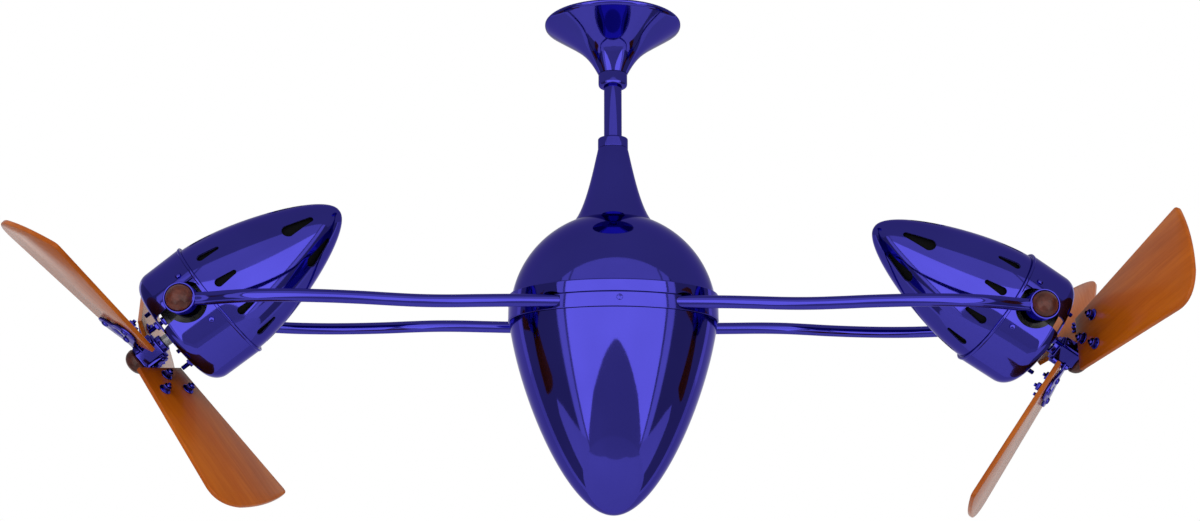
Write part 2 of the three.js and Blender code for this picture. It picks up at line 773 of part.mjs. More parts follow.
function motorCan() {
  const inner = canRadius - canWall;
  const bossInner = canBack - canBossDepth;
  return turned([
    point(inner, -canFront),
    point(canRadius, -canFront),
    point(canRadius, canBack),
    point(shaftRadius + seatGap, canBack),
    point(shaftRadius + seatGap, bossInner),
    point(canBossRadius, bossInner),
    point(canBossRadius, canBack - canWall - 1),
    point(inner, canBack - canWall - 1),
  ], headFacets);
}

const stator = () => ring(statorBore, canRadius - canWall - seatGap, -statorFront, statorBack, headFacets);

function bearingPlate() {
  const top = -canFront - seatGap;
  const bottom = top - plateThickness;
  const bore = shaftRadius + seatGap;
  const disc = turned([
    point(bore, bottom - plateBossHeight),
    point(canBossRadius, bottom - plateBossHeight),
    point(canBossRadius, bottom),
    point(canRadius, bottom),
    point(canRadius, top),
    point(bore, top),
  ], headFacets);
  const studs = spread(4, (_, angle) => spun(
    rod(studRadius, -studEnd, bottom + 1, 6)
      .add(rod(studNutRadius, bottom - studNutHeight, bottom + 0.5, 6))
      .translate([studCircle, 0, 0]), angle + studPhase - 90));
  return joined([disc, ...studs]);
}

// ---------------------------------------------------------------- rotors

function rotorShaft() {
  const coreRadius = statorBore - airGap;
  return turned([
    point(0, -(hubFront + shaftIntoHub)),
    point(shaftRadius, -(hubFront + shaftIntoHub)),
    point(shaftRadius, -(statorFront - coreInset)),
    point(coreRadius, -(statorFront - coreInset)),
    point(coreRadius, statorBack - coreInset),
    point(shaftRadius, statorBack - coreInset),
    point(shaftRadius, canBack - 2),
    point(0, canBack - 2),
  ], rodFacets);
}

function bladeHub() {
  const corner = hubFlats / 2 / Math.cos(Math.PI / 6);
  const prism = rod(corner, -hubOuterEnd, -hubFront, 6);
  const neck = rod(hubNeckRadius, -hubFront - 1, -hubFront + hubNeckLength, rodFacets);
  const bore = rod(shaftRadius + seatGap, -(hubFront + shaftIntoHub + seatGap), 0, rodFacets);
  return prism.add(neck).subtract(bore);
}

// Blade-iron bolts in the blade's own plane.
const bladeBolts = [
  [rootBoltReach, 0],
  [outerBoltReach, -outerBoltSpread],
  [outerBoltReach, outerBoltSpread],
];

// Turns a solid drawn on the blade's face to its pitch and distance from the tilt axis.
const pitched = (solid) => solid.rotate([bladePitch, 0, 0]).translate([0, 0, -bladePlane]);

function bladeSolid() {
  const heel = radians(bladeHeelAngle);
  const heelX = sweepRadius * Math.cos(heel);
  const heelY = sweepRadius * Math.sin(heel);
  const side = new THREE.Vector2(bladeToeReach - bladeRootReach, -(bladeToeHalf - bladeRootHalf)).normalize();
  const toeStart = point(bladeToeReach, -bladeToeHalf).addScaledVector(side, -bladeToeRound * 0.75);
  const toeAngle = Math.atan2(-bladeToeHalf, bladeToeReach) + bladeToeRound / sweepRadius;
  const back = new THREE.Vector2(bladeRootReach - heelX, bladeRootHalf - heelY).normalize();
  const heelEnd = point(heelX, heelY).addScaledVector(back, bladeHeelRound);
  const heelStart = heel - bladeHeelRound / sweepRadius;
  const outline = new THREE.Shape();
  outline.moveTo(bladeRootReach, -bladeRootHalf);
  outline.lineTo(toeStart.x, toeStart.y);
  outline.quadraticCurveTo(bladeToeReach, -bladeToeHalf,
    sweepRadius * Math.cos(toeAngle), sweepRadius * Math.sin(toeAngle));
  outline.absarc(0, 0, sweepRadius, toeAngle, heelStart, false);
  outline.quadraticCurveTo(heelX, heelY, heelEnd.x, heelEnd.y);
  outline.lineTo(bladeRootReach, bladeRootHalf);
  const plank = toSolid(new THREE.ExtrudeGeometry(outline, {
    depth: bladeThickness, bevelEnabled: false, curveSegments: 4,
  }).translate(0, 0, -bladeThickness));
  const holes = bladeBolts.map(([x, y]) =>
    rod(bladeBoltRadius + seatGap, -bladeThickness - 1, 1, 6).translate([x, y, 0]));
  return pitched(without(plank, holes));
}

function bladeIron() {
  const face = -bladeThickness - seatGap;
  const back = face - ironThickness;
  const inner = hubFlats / 2 + seatGap;
  const shoulder = outerBoltSpread + ironRound;
  const leaf = new THREE.Shape([
    point(inner, -ironNeckHalf),
    point(rootBoltReach - ironNeckHalf, -ironNeckHalf),
    point(outerBoltReach - ironRound, -shoulder),
    point(outerBoltReach + ironRound / 3, -shoulder),
    point(outerBoltReach + ironRound, -outerBoltSpread + ironRound / 3),
    point(outerBoltReach + ironRound * 0.6, 0),
    point(outerBoltReach + ironRound, outerBoltSpread - ironRound / 3),
    point(outerBoltReach + ironRound / 3, shoulder),
    point(outerBoltReach - ironRound, shoulder),
    point(rootBoltReach - ironNeckHalf, ironNeckHalf),
    point(inner, ironNeckHalf),
  ]);
  leaf.holes.push(new THREE.Path([
    point(rootBoltReach + 6, -ironSlotHalf),
    point(rootBoltReach + 6, ironSlotHalf),
    point(outerBoltReach - 2, ironSlotHalf),
    point(outerBoltReach - 2, -ironSlotHalf),
  ]));
  const plate = toSolid(new THREE.ExtrudeGeometry(leaf, {
    depth: ironThickness, bevelEnabled: false,
  }).translate(0, 0, back));
  const bolts = bladeBolts.map(([x, y]) => joined([
    rod(bladeBoltRadius, back - 0.5, bladeBoltEnd, 6),
    rod(screwHeadRadius, back - screwHeadHeight, back + 0.5, 6),
    rod(bladeNutRadius, seatGap, seatGap + bladeNutHeight, 6),
  ]).translate([x, y, 0]));
  const tab = block(inner, inner + ironTabThickness, -ironTabWidth / 2, ironTabWidth / 2,
    -hubOuterEnd + ironTabMargin, -hubFront - ironTabMargin);
  return joined([pitched(joined([plate, ...bolts])), tab]);
}

function finial() {
  const low = -(hubOuterEnd + seatGap + finialHeight);
  const top = -(hubOuterEnd + seatGap);
  const lip = 2;
  const dome = curved(
    point(0, low),
    point(finialRadius * 0.6, low),
    point(finialRadius, low + (finialHeight - lip) * 0.4),
    point(finialRadius, top - lip), 4);
  return turned([...dome, point(finialRadius - 1, top), point(0, top)], rodFacets);
}

// ---------------------------------------------------------------- assembly

function buildCeilingMount(parent) {
  piece('ceiling_bracket', ceilingBracket(), plainSteel, parent);
  piece('canopy', canopy(), blueChrome, parent);
  piece('canopy_collar', canopyCollar(), blueChrome, parent);
  piece('hanger_ball', hangerBall(), plainSteel, parent);
  piece('downrod', downrod(), blueChrome, parent);
}

function buildSpindle(parent) {
  piece('spindle', spindle(), plainSteel, parent);
  piece('spindle_nut', spindleNut(), plainSteel, parent);
  piece('slip_ring', slipRing(), copperBrass, parent);
}

function buildCarrier(parent) {
  piece('neck_collar', neckCollar(), blueChrome, parent);
  piece('dome_shell', domeShell(), blueChrome, parent);
  piece('upper_band', upperBand(), blueChrome, parent);
  piece('lower_band', lowerBand(), blueChrome, parent);
  piece('bowl_shell', bowlShell(), blueChrome, parent);
  piece('hub_casting', hubCasting(), castMetal, parent);
  piece('upper_bearing', mainBearing(1), plainSteel, parent);
  piece('lower_bearing', mainBearing(-1), plainSteel, parent);
  piece('brush_block', brushBlock(), darkPlastic, parent);
  for (const [sideX, across] of [[-1, 'left'], [1, 'right']]) {
    for (const [sideY, along] of [[-1, 'front'], [1, 'rear']]) {
      const tag = `${across}_${along}`;
      piece(`arm_${tag}`, armSolid(sideX, sideY), blueChrome, parent);
      piece(`pivot_bolt_${tag}`, pivotBolt(sideY), plainSteel, parent).position.x = sideX * armReach;
      piece(`pivot_cap_${tag}`, woodCap(sideY), turnedWood, parent).position.x = sideX * armReach;
    }
  }
}

function buildRotor(side, phase, parent) {
  const turning = new THREE.Group();
  turning.rotation.z = radians(phase);
  parent.add(turning);
  piece(`rotor_shaft_${side}`, rotorShaft(), plainSteel, turning);
  piece(`blade_hub_${side}`, bladeHub(), blueChrome, turning);
  piece(`finial_${side}`, finial(), turnedWood, turning);
  const blade = bladeSolid();
  const iron = bladeIron();
  for (let i = 0; i < bladeCount; i += 1) {
    const turn = radians((360 * i) / bladeCount);
    piece(`blade_iron_${side}_${i + 1}`, iron, blueChrome, turning).rotation.z = turn;
    piece(`blade_${side}_${i + 1}`, blade, bladeWood, turning).rotation.z = turn;
  }
}

function buildHead(side, yaw, tiltUp, phase, parent) {
  const place = new THREE.Group();
  place.rotation.z = yaw;
  parent.add(place);
  const tilting = new THREE.Group();
  tilting.position.x = -armReach;
  tilting.rotation.y = radians(90 - tiltUp);
  place.add(tilting);
  piece(`nose_cone_${side}`, noseCone(side), blueChrome, tilting);
  piece(`motor_cover_${side}`, motorCover(), blueChrome, tilting);
  piece(`tilt_frame_${side}`, tiltFrame(), castMetal, tilting);
  piece(`motor_can_${side}`, motorCan(), blackMotor, tilting);
  piece(`stator_${side}`, stator(), copperBrass, tilting);
  piece(`bearing_plate_${side}`, bearingPlate(), blackMotor, tilting);
  buildRotor(side, phase, tilting);
}

const fan = new THREE.Group();
buildCeilingMount(fan);
const body = new THREE.Group();
body.position.z = armPlaneZ;
fan.add(body);
buildSpindle(body);
buildCarrier(body);
buildHead('left', 0, leftTiltUp, leftRotorPhase, body);
buildHead('right', Math.PI, rightTiltUp, rightRotorPhase, body);

export default fan;
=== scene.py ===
# Twin head ceiling fan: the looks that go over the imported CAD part.
# Sizes are in millimetres in the settings and become metres in the meshes.
import json
import math
import bmesh
import bpy
from mathutils import Matrix, Vector


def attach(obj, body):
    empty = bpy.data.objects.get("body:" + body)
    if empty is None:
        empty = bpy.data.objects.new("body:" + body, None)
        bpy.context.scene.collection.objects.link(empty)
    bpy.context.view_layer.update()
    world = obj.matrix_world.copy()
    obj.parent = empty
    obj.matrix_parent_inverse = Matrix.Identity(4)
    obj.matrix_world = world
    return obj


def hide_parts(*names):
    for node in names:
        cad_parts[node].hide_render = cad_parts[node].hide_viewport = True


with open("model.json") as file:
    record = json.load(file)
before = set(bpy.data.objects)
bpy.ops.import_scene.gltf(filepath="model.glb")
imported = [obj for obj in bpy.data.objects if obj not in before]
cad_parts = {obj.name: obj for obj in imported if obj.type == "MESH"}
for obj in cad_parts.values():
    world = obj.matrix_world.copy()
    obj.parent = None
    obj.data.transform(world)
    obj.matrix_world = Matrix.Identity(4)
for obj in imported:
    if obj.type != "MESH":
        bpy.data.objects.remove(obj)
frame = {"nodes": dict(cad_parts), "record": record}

scene = bpy.context.scene
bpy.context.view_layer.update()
mm = 0.001

# Where things are, the same as in the CAD part
layout = {
    "armPlane": -319.2124,      # height of the arms
    "armReach": 420.0,          # fan axis to a head's tilt axis
    "leftTiltUp": 39.2,         # degrees, nose above the horizontal
    "rightTiltUp": 34.2,
    "leftRotorPhase": -9.6,
    "rightRotorPhase": 117.7,
    "bladeCount": 3,
}


# Small mesh helpers

def finishMesh(mesh, creaseAngle=32):
    mesh.shade_smooth()
    mesh.set_sharp_from_angle(angle=math.radians(creaseAngle))


def addPiece(name, points, faces, creaseAngle=32):
    work = bmesh.new()
    verts = [work.verts.new((x * mm, y * mm, z * mm)) for x, y, z in points]
    for face in faces:
        work.faces.new([verts[i] for i in face])
    bmesh.ops.recalc_face_normals(work, faces=work.faces)
    mesh = bpy.data.meshes.new(name)
    work.to_mesh(mesh)
    work.free()
    finishMesh(mesh, creaseAngle)
    piece = bpy.data.objects.new(name, mesh)
    scene.collection.objects.link(piece)
    return piece


def turnPiece(name, outline, sides=144, creaseAngle=32):
    # a closed outline of (radius, height) turned about Z
    points, rings = [], []
    for radius, height in outline:
        if radius < 1e-6:
            rings.append([len(points)])
            points.append((0, 0, height))
            continue
        rings.append(list(range(len(points), len(points) + sides)))
        for i in range(sides):
            angle = 2 * math.pi * i / sides
            points.append((radius * math.cos(angle), radius * math.sin(angle), height))
    pairs = list(zip(rings, rings[1:]))
    if len(rings[0]) > 1 or len(rings[-1]) > 1:
        pairs.append((rings[-1], rings[0]))
    faces = []
    for low, high in pairs:
        for i in range(sides):
            j = (i + 1) % sides
            if len(low) == 1:
                faces.append((low[0], high[j], high[i]))
            elif len(high) == 1:
                faces.append((low[i], low[j], high[0]))
            else:
                faces.append((low[i], low[j], high[j], high[i]))
    return addPiece(name, points, faces, creaseAngle)


def curvePoints(a, b, c, d, steps):
    # points of a cubic curve between two outline points
    result = []
    for i in range(steps + 1):
        t = i / steps
        s = 1 - t
        result.append(tuple(
            s ** 3 * p + 3 * s * s * t * q + 3 * s * t * t * r + t ** 3 * e
            for p, q, r, e in zip(a, b, c, d)))
    return result


def arcPoints(centre, radius, start, end, steps):
    result = []
    for i in range(steps + 1):
        angle = math.radians(start + (end - start) * i / steps)
        result.append((centre[0] + radius * math.cos(angle), centre[1] + radius * math.sin(angle)))
    return result


def bendPoints(start, corner, end, steps):
    result = []
    for k in range(steps + 1):
        t = k / steps
        p = start * (1 - t) ** 2 + corner * 2 * t * (1 - t) + end * t * t
        result.append((p.x, p.y))
    return result


def roundCorners(corners, closed=True, steps=4):
    # corners are (x, y, how far back from the corner the rounding starts)
    result = []
    count = len(corners)
    for i, (x, y, back) in enumerate(corners):
        atEnd = not closed and i in (0, count - 1)
        if back <= 0 or atEnd:
            result.append((x, y))
            continue
        here = Vector((x, y))
        before = Vector(corners[i - 1][:2]) - here
        after = Vector(corners[(i + 1) % count][:2]) - here
        start = here + before.normalized() * min(back, before.length * 0.49)
        end = here + after.normalized() * min(back, after.length * 0.49)
        result += bendPoints(start, here, end, steps)
    return result


def platePiece(name, outline, low, high, edge=0.4, creaseAngle=32):
    # a flat outline between two heights, with a softened edge
    count = len(outline)
    centre = Vector((sum(p[0] for p in outline) / count, sum(p[1] for p in outline) / count))
    normals = []
    for i in range(count):
        a, b = Vector(outline[i - 1]), Vector(outline[(i + 1) % count])
        along = (b - a).normalized()
        out = Vector((along.y, -along.x))
        normals.append(out if out.dot(Vector(outline[i]) - centre) > 0 else -out)
    layers = [(edge, low), (edge * 0.3, low + edge * 0.3), (0, low + edge),
              (0, high - edge), (edge * 0.3, high - edge * 0.3), (edge, high)]
    points, faces = [], []
    for inset, height in layers:
        for p, n in zip(outline, normals):
            points.append((p[0] - n.x * inset, p[1] - n.y * inset, height))
    for k in range(len(layers) - 1):
        for i in range(count):
            j = (i + 1) % count
            faces.append((k * count + i, k * count + j, (k + 1) * count + j, (k + 1) * count + i))
    faces.append(list(range(count)))
    faces.append([(len(layers) - 1) * count + i for i in range(count)])
    return addPiece(name, points, faces, creaseAngle)


def prismFaces(count):
    # both ends and the sides of a prism whose points are listed end by end
    ends = [list(range(count)), list(range(count, 2 * count))]
    return ends + [(i, (i + 1) % count, count + (i + 1) % count, count + i) for i in range(count)]


def blockPiece(name, x0, x1, y0, y1, z0, z1):
    points = [(x, y, z) for z in (z0, z1) for x, y in ((x0, y0), (x1, y0), (x1, y1), (x0, y1))]
    return addPiece(name, points, prismFaces(4))


def sweepPiece(name, path, radius, sides=32):
    # a round bar along a path that lies flat
    points, faces = [], []
    up = Vector((0, 0, 1))
    for i, p in enumerate(path):
        ahead = Vector(path[min(i + 1, len(path) - 1)]) - Vector(path[max(i - 1, 0)])
        across = ahead.normalized().cross(up)
        for k in range(sides):
            angle = 2 * math.pi * k / sides
            around = across * radius * math.cos(angle) + up * radius * math.sin(angle)
            points.append(tuple(Vector(p) + around))
    for i in range(len(path) - 1):
        for k in range(sides):
            n = (k + 1) % sides
            faces.append((i * sides + k, i * sides + n, (i + 1) * sides + n, (i + 1) * sides + k))
    faces.append(list(range(sides)))
    faces.append([(len(path) - 1) * sides + k for k in range(sides)])
    return addPiece(name, points, faces)


def moveBy(piece, matrix):
    piece.data.transform(matrix)
    piece.data.update()
    return piece


def shift(x=0, y=0, z=0):
    return Matrix.Translation((x * mm, y * mm, z * mm))


def spin(degrees, axis="Z"):
    return Matrix.Rotation(math.radians(degrees), 4, axis)


def joinPieces(name, pieces, creaseAngle=32):
    work = bmesh.new()
    for piece in pieces:
        work.from_mesh(piece.data)
    mesh = bpy.data.meshes.new(name)
    work.to_mesh(mesh)
    work.free()
    for piece in pieces:
        bpy.data.objects.remove(piece)
    finishMesh(mesh, creaseAngle)
    joined = bpy.data.objects.new(name, mesh)
    scene.collection.objects.link(joined)
    return joined


def cutPiece(piece, cutters, edge=0.0, creaseAngle=32):
    # takes the cutters out of the piece and softens the new edges a little
    cutter = joinPieces(piece.name + "Cutter", cutters)
    boolean = piece.modifiers.new("cut", "BOOLEAN")
    boolean.object = cutter
    boolean.operation = "DIFFERENCE"
    boolean.solver = "EXACT"
    if edge:
        bevel = piece.modifiers.new("edge", "BEVEL")
        bevel.width = edge * mm
        bevel.segments = 2
        bevel.limit_method = "ANGLE"
        bevel.angle_limit = math.radians(50)
        bevel.use_clamp_overlap = True
    bpy.context.view_layer.update()
    evaluated = piece.evaluated_get(bpy.context.evaluated_depsgraph_get())
    mesh = bpy.data.meshes.new_from_object(evaluated)
    piece.modifiers.clear()
    piece.data = mesh
    finishMesh(mesh, creaseAngle)
    bpy.data.objects.remove(cutter)
    return piece


def dress(piece, body, slotName, stands=()):
    # gives a piece its body, its material and the CAD nodes it stands for
    piece.data.materials.clear()
    piece.data.materials.append(finishes[slotName])
    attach(piece, body)
    if stands:
        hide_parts(*stands)
    return piece


def markGrain(mesh, offset=(0, 0, 0)):
    # keeps each point's place in the piece's own frame, for the wood's grain
    attribute = mesh.attributes.new("grainAt", "FLOAT_VECTOR", "POINT")
    for vertex, item in zip(mesh.vertices, attribute.data):
        item.vector = vertex.co + Vector(offset)


def markInside(piece, outline, depth=0.8):
    # marks the points that lie deeper than the outside of a turned shell; the chrome paints shade on them
    outline = sorted((z, r) for r, z in outline)
    attribute = piece.data.attributes.new("paintedShadeInside", "FLOAT", "POINT")
    for vertex, item in zip(piece.data.vertices, attribute.data):
        reach, z = math.hypot(vertex.co.x, vertex.co.y) / mm, vertex.co.z / mm
        below = [p for p in outline if p[0] <= z] or outline[:1]
        above = [p for p in outline if p[0] > z] or outline[-1:]
        (z0, r0), (z1, r1) = below[-1], above[0]
        edge = r0 + (r1 - r0) * (z - z0) / (z1 - z0) if z1 > z0 else r0
        item.value = 1.0 if reach < edge - depth else 0.0


def copyOf(piece, name, matrix, grainOffset=(0, 0, 0)):
    mesh = piece.data.copy()
    markGrain(mesh, grainOffset)
    mesh.transform(matrix)
    mesh.update()
    twin = bpy.data.objects.new(name, mesh)
    scene.collection.objects.link(twin)
    return twin


# Finishes

def newFinish(name, **values):
    finish = bpy.data.materials.new(name)
    finish.use_nodes = True
    shader = finish.node_tree.nodes["Principled BSDF"]
    for socket, value in values.items():
        shader.inputs[socket.replace("_", " ")].default_value = value
    return finish, finish.node_tree, shader


def feed(tree, shader, **sources):
    for socket, source in sources.items():
        tree.links.new(source, shader.inputs[socket.replace("_", " ")])


def colour(red, green, blue):
    # a colour as seen on screen, 0 to 255, as the shader wants it
    def level(v):
        v /= 255
        return v / 12.92 if v <= 0.04045 else ((v + 0.055) / 1.055) ** 2.4
    return (level(red), level(green), level(blue), 1)


def pieceCoords(tree, ownFrame):
    # the point on the piece, in the piece's own frame for wood, else in the object's
    if ownFrame:
        place = tree.nodes.new("ShaderNodeAttribute")
        place.attribute_name = "grainAt"
        return place.outputs["Vector"]
    return tree.nodes.new("ShaderNodeTexCoord").outputs["Object"]


def addNoise(tree, scale, stretch=(1, 1, 1), detail=3.0, roughness=0.5, offset=(0, 0, 0),
             ownFrame=False):
    mapping = tree.nodes.new("ShaderNodeMapping")
    mapping.inputs["Scale"].default_value = stretch
    mapping.inputs["Location"].default_value = offset
    noise = tree.nodes.new("ShaderNodeTexNoise")
    noise.inputs["Scale"].default_value = scale
    noise.inputs["Detail"].default_value = detail
    noise.inputs["Roughness"].default_value = roughness
    tree.links.new(pieceCoords(tree, ownFrame), mapping.inputs["Vector"])
    tree.links.new(mapping.outputs["Vector"], noise.inputs["Vector"])
    return noise


def addRamp(tree, source, stops):
    ramp = tree.nodes.new("ShaderNodeValToRGB")
    elements = ramp.color_ramp.elements
    while len(elements) > len(stops):
        elements.remove(elements[-1])
    while len(elements) < len(stops):
        elements.new(1.0)
    for element, (position, value) in zip(elements, stops):
        element.position = position
        element.color = value if isinstance(value, tuple) else (value, value, value, 1)
    tree.links.new(source, ramp.inputs["Fac"])
    return ramp.outputs["Color"]


def addBump(tree, shader, source, strength, depth):
    bump = tree.nodes.new("ShaderNodeBump")
    bump.inputs["Strength"].default_value = strength
    bump.inputs["Distance"].default_value = depth * mm
    tree.links.new(source, bump.inputs["Height"])
    tree.links.new(bump.outputs["Normal"], shader.inputs["Normal"])


def mixColours(tree, factor, first, second, mode="MIX"):
    mix = tree.nodes.new("ShaderNodeMix")
    mix.data_type = "RGBA"
    mix.blend_type = mode
    for socket, value in ((mix.inputs[0], factor), (mix.inputs[6], first), (mix.inputs[7], second)):
        if isinstance(value, bpy.types.NodeSocket):
            tree.links.new(value, socket)
        else:
            socket.default_value = value
    return mix.outputs[2]


def makeBlueChrome():
    # painted shade: points marked as inside are dull and nearly black, so the inner surfaces and holes read
    # dark
    finish, tree, shader = newFinish("blueChrome", Metallic=1.0, Specular_Tint=(0.58, 0.55, 0.86, 1))
    inside = tree.nodes.new("ShaderNodeAttribute")
    inside.attribute_name = "paintedShadeInside"
    clouds = addNoise(tree, 9, detail=2)
    tint = addRamp(tree, clouds.outputs["Fac"], [
        (0.3, colour(58, 54, 150)), (0.7, colour(63, 59, 160))])
    # painted shade: the inside points turn nearly black, rough and not metal
    tint = mixColours(tree, inside.outputs["Fac"], tint, colour(7, 6, 10))
    metalOutside = addRamp(tree, inside.outputs["Fac"], [(0.0, 1.0), (1.0, 0.0)])
    wipes = addNoise(tree, 30, detail=4, roughness=0.6)
    rough = addRamp(tree, wipes.outputs["Fac"], [(0.35, 0.05), (0.75, 0.09)])
    rough = mixColours(tree, inside.outputs["Fac"], rough, (0.8, 0.8, 0.8, 1))
    feed(tree, shader, Base_Color=tint, Metallic=metalOutside, Roughness=rough)
    peel = addNoise(tree, 160, detail=1)
    addBump(tree, shader, peel.outputs["Fac"], 0.05, 0.15)
    return finish


def makeBladeWood():
    finish, tree, shader = newFinish(
        "bladeWood", Coat_Weight=1.0, Coat_Roughness=0.2, Coat_IOR=1.2, Specular_IOR_Level=0.03)
    bands = addNoise(tree, 11, stretch=(0.6, 5, 5), detail=4, roughness=0.6, ownFrame=True)
    fibres = addNoise(
        tree, 40, stretch=(0.35, 14, 14), detail=4, roughness=0.7, offset=(3, 1, 2), ownFrame=True)
    base = addRamp(tree, bands.outputs["Fac"], [
        (0.25, colour(150, 68, 4)), (0.5, colour(168, 82, 8)), (0.75, colour(182, 96, 16))])
    lines = addRamp(tree, fibres.outputs["Fac"], [(0.35, 0.72), (0.6, 1.0)])
    wood = mixColours(tree, 0.45, base, lines, "MULTIPLY")
    split = tree.nodes.new("ShaderNodeSeparateXYZ")
    tree.links.new(pieceCoords(tree, True), split.inputs["Vector"])
    toRoot = addRamp(tree, split.outputs["X"], [(0.02, 0.45), (0.08, 0.0)])
    wood = mixColours(tree, toRoot, wood, colour(96, 28, 2))
    rough = addRamp(tree, fibres.outputs["Fac"], [(0.3, 0.5), (0.7, 0.34)])
    feed(tree, shader, Base_Color=wood, Roughness=rough)
    addBump(tree, shader, fibres.outputs["Fac"], 0.12, 0.2)
    return finish


def makeTurnedWood():
    finish, tree, shader = newFinish(
        "turnedWood", Coat_Weight=0.4, Coat_Roughness=0.08, Coat_IOR=1.4, Specular_IOR_Level=0.06)
    figure = addNoise(tree, 55, stretch=(1, 1, 2.6), detail=5, roughness=0.62, ownFrame=True)
    wood = addRamp(tree, figure.outputs["Fac"], [
        (0.3, colour(40, 19, 16)), (0.5, colour(74, 36, 30)), (0.68, colour(100, 50, 40))])
    rough = addRamp(tree, figure.outputs["Fac"], [(0.3, 0.42), (0.7, 0.3)])
    feed(tree, shader, Base_Color=wood, Roughness=rough)
    addBump(tree, shader, figure.outputs["Fac"], 0.1, 0.2)
    return finish


def makeMetal(name, dark, light, metallic, smooth, rough, grain=60, gloss=0.5):
    finish, tree, shader = newFinish(name, Metallic=metallic, Specular_IOR_Level=gloss)
    spots = addNoise(tree, grain, detail=5, roughness=0.65)
    tint = addRamp(tree, spots.outputs["Fac"], [(0.3, dark), (0.7, light)])
    sheen = addRamp(tree, spots.outputs["Fac"], [(0.3, smooth), (0.7, rough)])
    feed(tree, shader, Base_Color=tint, Roughness=sheen)
    addBump(tree, shader, spots.outputs["Fac"], 0.15, 0.2)
    return finish


# one finish for each material slot of the part
finishes = {
    "blue_chrome": makeBlueChrome(),
    "blade_wood": makeBladeWood(),
    "turned_wood": makeTurnedWood(),
    "plain_steel": makeMetal("plainSteel", colour(128, 130, 134), colour(158, 160, 164), 1.0, 0.28, 0.42),
    "cast_aluminium": makeMetal("castMetal", colour(34, 34, 36), colour(48, 48, 50), 0.5, 0.55, 0.75, 180),
    "black_enamel": makeMetal("blackEnamel", colour(14, 14, 18), colour(26, 26, 32), 0.0, 0.35, 0.5, 120),
    "copper": makeMetal("copperMetal", colour(150, 92, 52), colour(186, 124, 76), 1.0, 0.3, 0.45),
    "dark_plastic": makeMetal("darkPlastic", colour(4, 4, 5), colour(9, 9, 11), 0.0, 0.6, 0.75, 220, 0.05),
}
print("finishes made")


# Canopy, rod and body, all turned about the fan's axis

hanging = {
    "rimRadius": 73.4, "rimZ": -1.0, "rimLip": 1.9, "lipStep": 0.8,
    "neckRadius": 15.9, "neckZ": -57.0, "wall": 1.4, "shade": 0.35,
    "flare": [(0.24, 0.49), (0.41, 0.54)],      # shares of the spread and of the rise
    "collarRadius": 15.5, "collarTop": -57.3, "collarBottom": -71.3, "collarRound": 4.0,
    "rodRadius": 9.5, "rodWall": 2.2, "rodTop": -7.0, "rodTuck": 70.0, "collarPlay": 0.4,
}


def makeCanopy():
    s = hanging
    rise = s["rimZ"] - s["neckZ"]
    spread = s["rimRadius"] - s["neckRadius"]

    def surface(inset, top, steps):
        handles = [(s["neckRadius"] + spread * out - inset, s["neckZ"] + rise * up) for out, up in s["flare"]]
        return curvePoints(
            (s["neckRadius"] - inset, s["neckZ"]), *handles, (s["rimRadius"] - inset, top), steps)
    lipFoot = s["rimZ"] - s["rimLip"]
    outside = surface(s["shade"], lipFoot - s["lipStep"], 30)
    lip = [(s["rimRadius"] - 0.1, lipFoot), (s["rimRadius"], lipFoot + 0.4),
           (s["rimRadius"], s["rimZ"] - 0.3), (s["rimRadius"] - 0.3, s["rimZ"])]
    inside = surface(s["wall"] + s["shade"], s["rimZ"], 30)
    return turnPiece("canopyShell", outside + lip + inside[::-1], 160, 40)


def makeCanopyCollar():
    s = hanging
    bore = s["rodRadius"] + s["collarPlay"]
    outline = roundCorners([
        (bore, s["collarBottom"], 0.4), (s["collarRadius"], s["collarBottom"], s["collarRound"]),
        (s["collarRadius"], s["collarTop"], 0.5), (bore, s["collarTop"], 0.2)], steps=8)
    return turnPiece("canopyCollar", outline, 96)


def makeRod(low):
    s = hanging
    outer, inner, high = s["rodRadius"], s["rodRadius"] - s["rodWall"], s["rodTop"]
    return turnPiece("hangingRod", [(inner, low), (outer, low), (outer, high), (inner, high)], 64)


body = {
    "neckCollarRadius": 16.0, "neckCollarTop": 190.3, "neckCollarBottom": 179.1,
    "neckCollarPlay": 0.6,
    "neckRadius": 15.9, "neckTop": 178.8, "creaseRadius": 41.6,
    "neckFoot": (28.6, 15.4), "neckWaist": (20.5, 20.0),    # radius, height from the crease and from the top
    "domeRadius": 106.9, "domeFoot": 19.4, "wall": 1.8,
    "bandRadius": 108.8, "bandInner": 103.0, "split": 6.4, "bandTop": 18.7, "bandFoot": -8.3,
    "seam": 0.25, "notchRadius": 9.4, "armSpread": 86.0, "armRadius": 6.35,
    "bowlRim": 107.6, "bowlTop": -8.7, "bowlTip": -203.8, "bowlSide": (98.5, -78.5), "bowlTipReach": 47.4,
    "screwAngle": -89.8, "screwRadius": 3.1, "screwSink": -0.2, "screwLift": 0.7, "screwTurn": 40.0,
}


def makeNeckCollar():
    s = body
    bore = hanging["rodRadius"] + s["neckCollarPlay"]
    outline = roundCorners([
        (bore, s["neckCollarBottom"], 0.2), (s["neckCollarRadius"], s["neckCollarBottom"], 0.4),
        (s["neckCollarRadius"], s["neckCollarTop"], 1.8), (bore, s["neckCollarTop"], 0.5)], steps=6)
    return turnPiece("neckCollar", outline, 96)


def makeDome():
    s = body

    def surface(inset, arcSteps, neckSteps):
        radius = s["domeRadius"] - inset
        edge = s["creaseRadius"] - inset
        foot = math.degrees(math.asin(s["domeFoot"] / radius))
        crease = math.degrees(math.acos(edge / radius))
        top = math.sqrt(radius ** 2 - edge ** 2)
        (footRadius, footRise), (waistRadius, waistDrop) = s["neckFoot"], s["neckWaist"]
        neck = curvePoints(
            (edge, top), (footRadius - inset, top + footRise), (waistRadius - inset, s["neckTop"] - waistDrop),
            (s["neckRadius"] - inset, s["neckTop"]), neckSteps)
        return arcPoints((0, 0), radius, foot, crease, arcSteps)[:-1] + neck
    outline = surface(0, 40, 36) + surface(s["wall"], 40, 36)[::-1]
    return turnPiece("domeShell", outline, 192, 24)


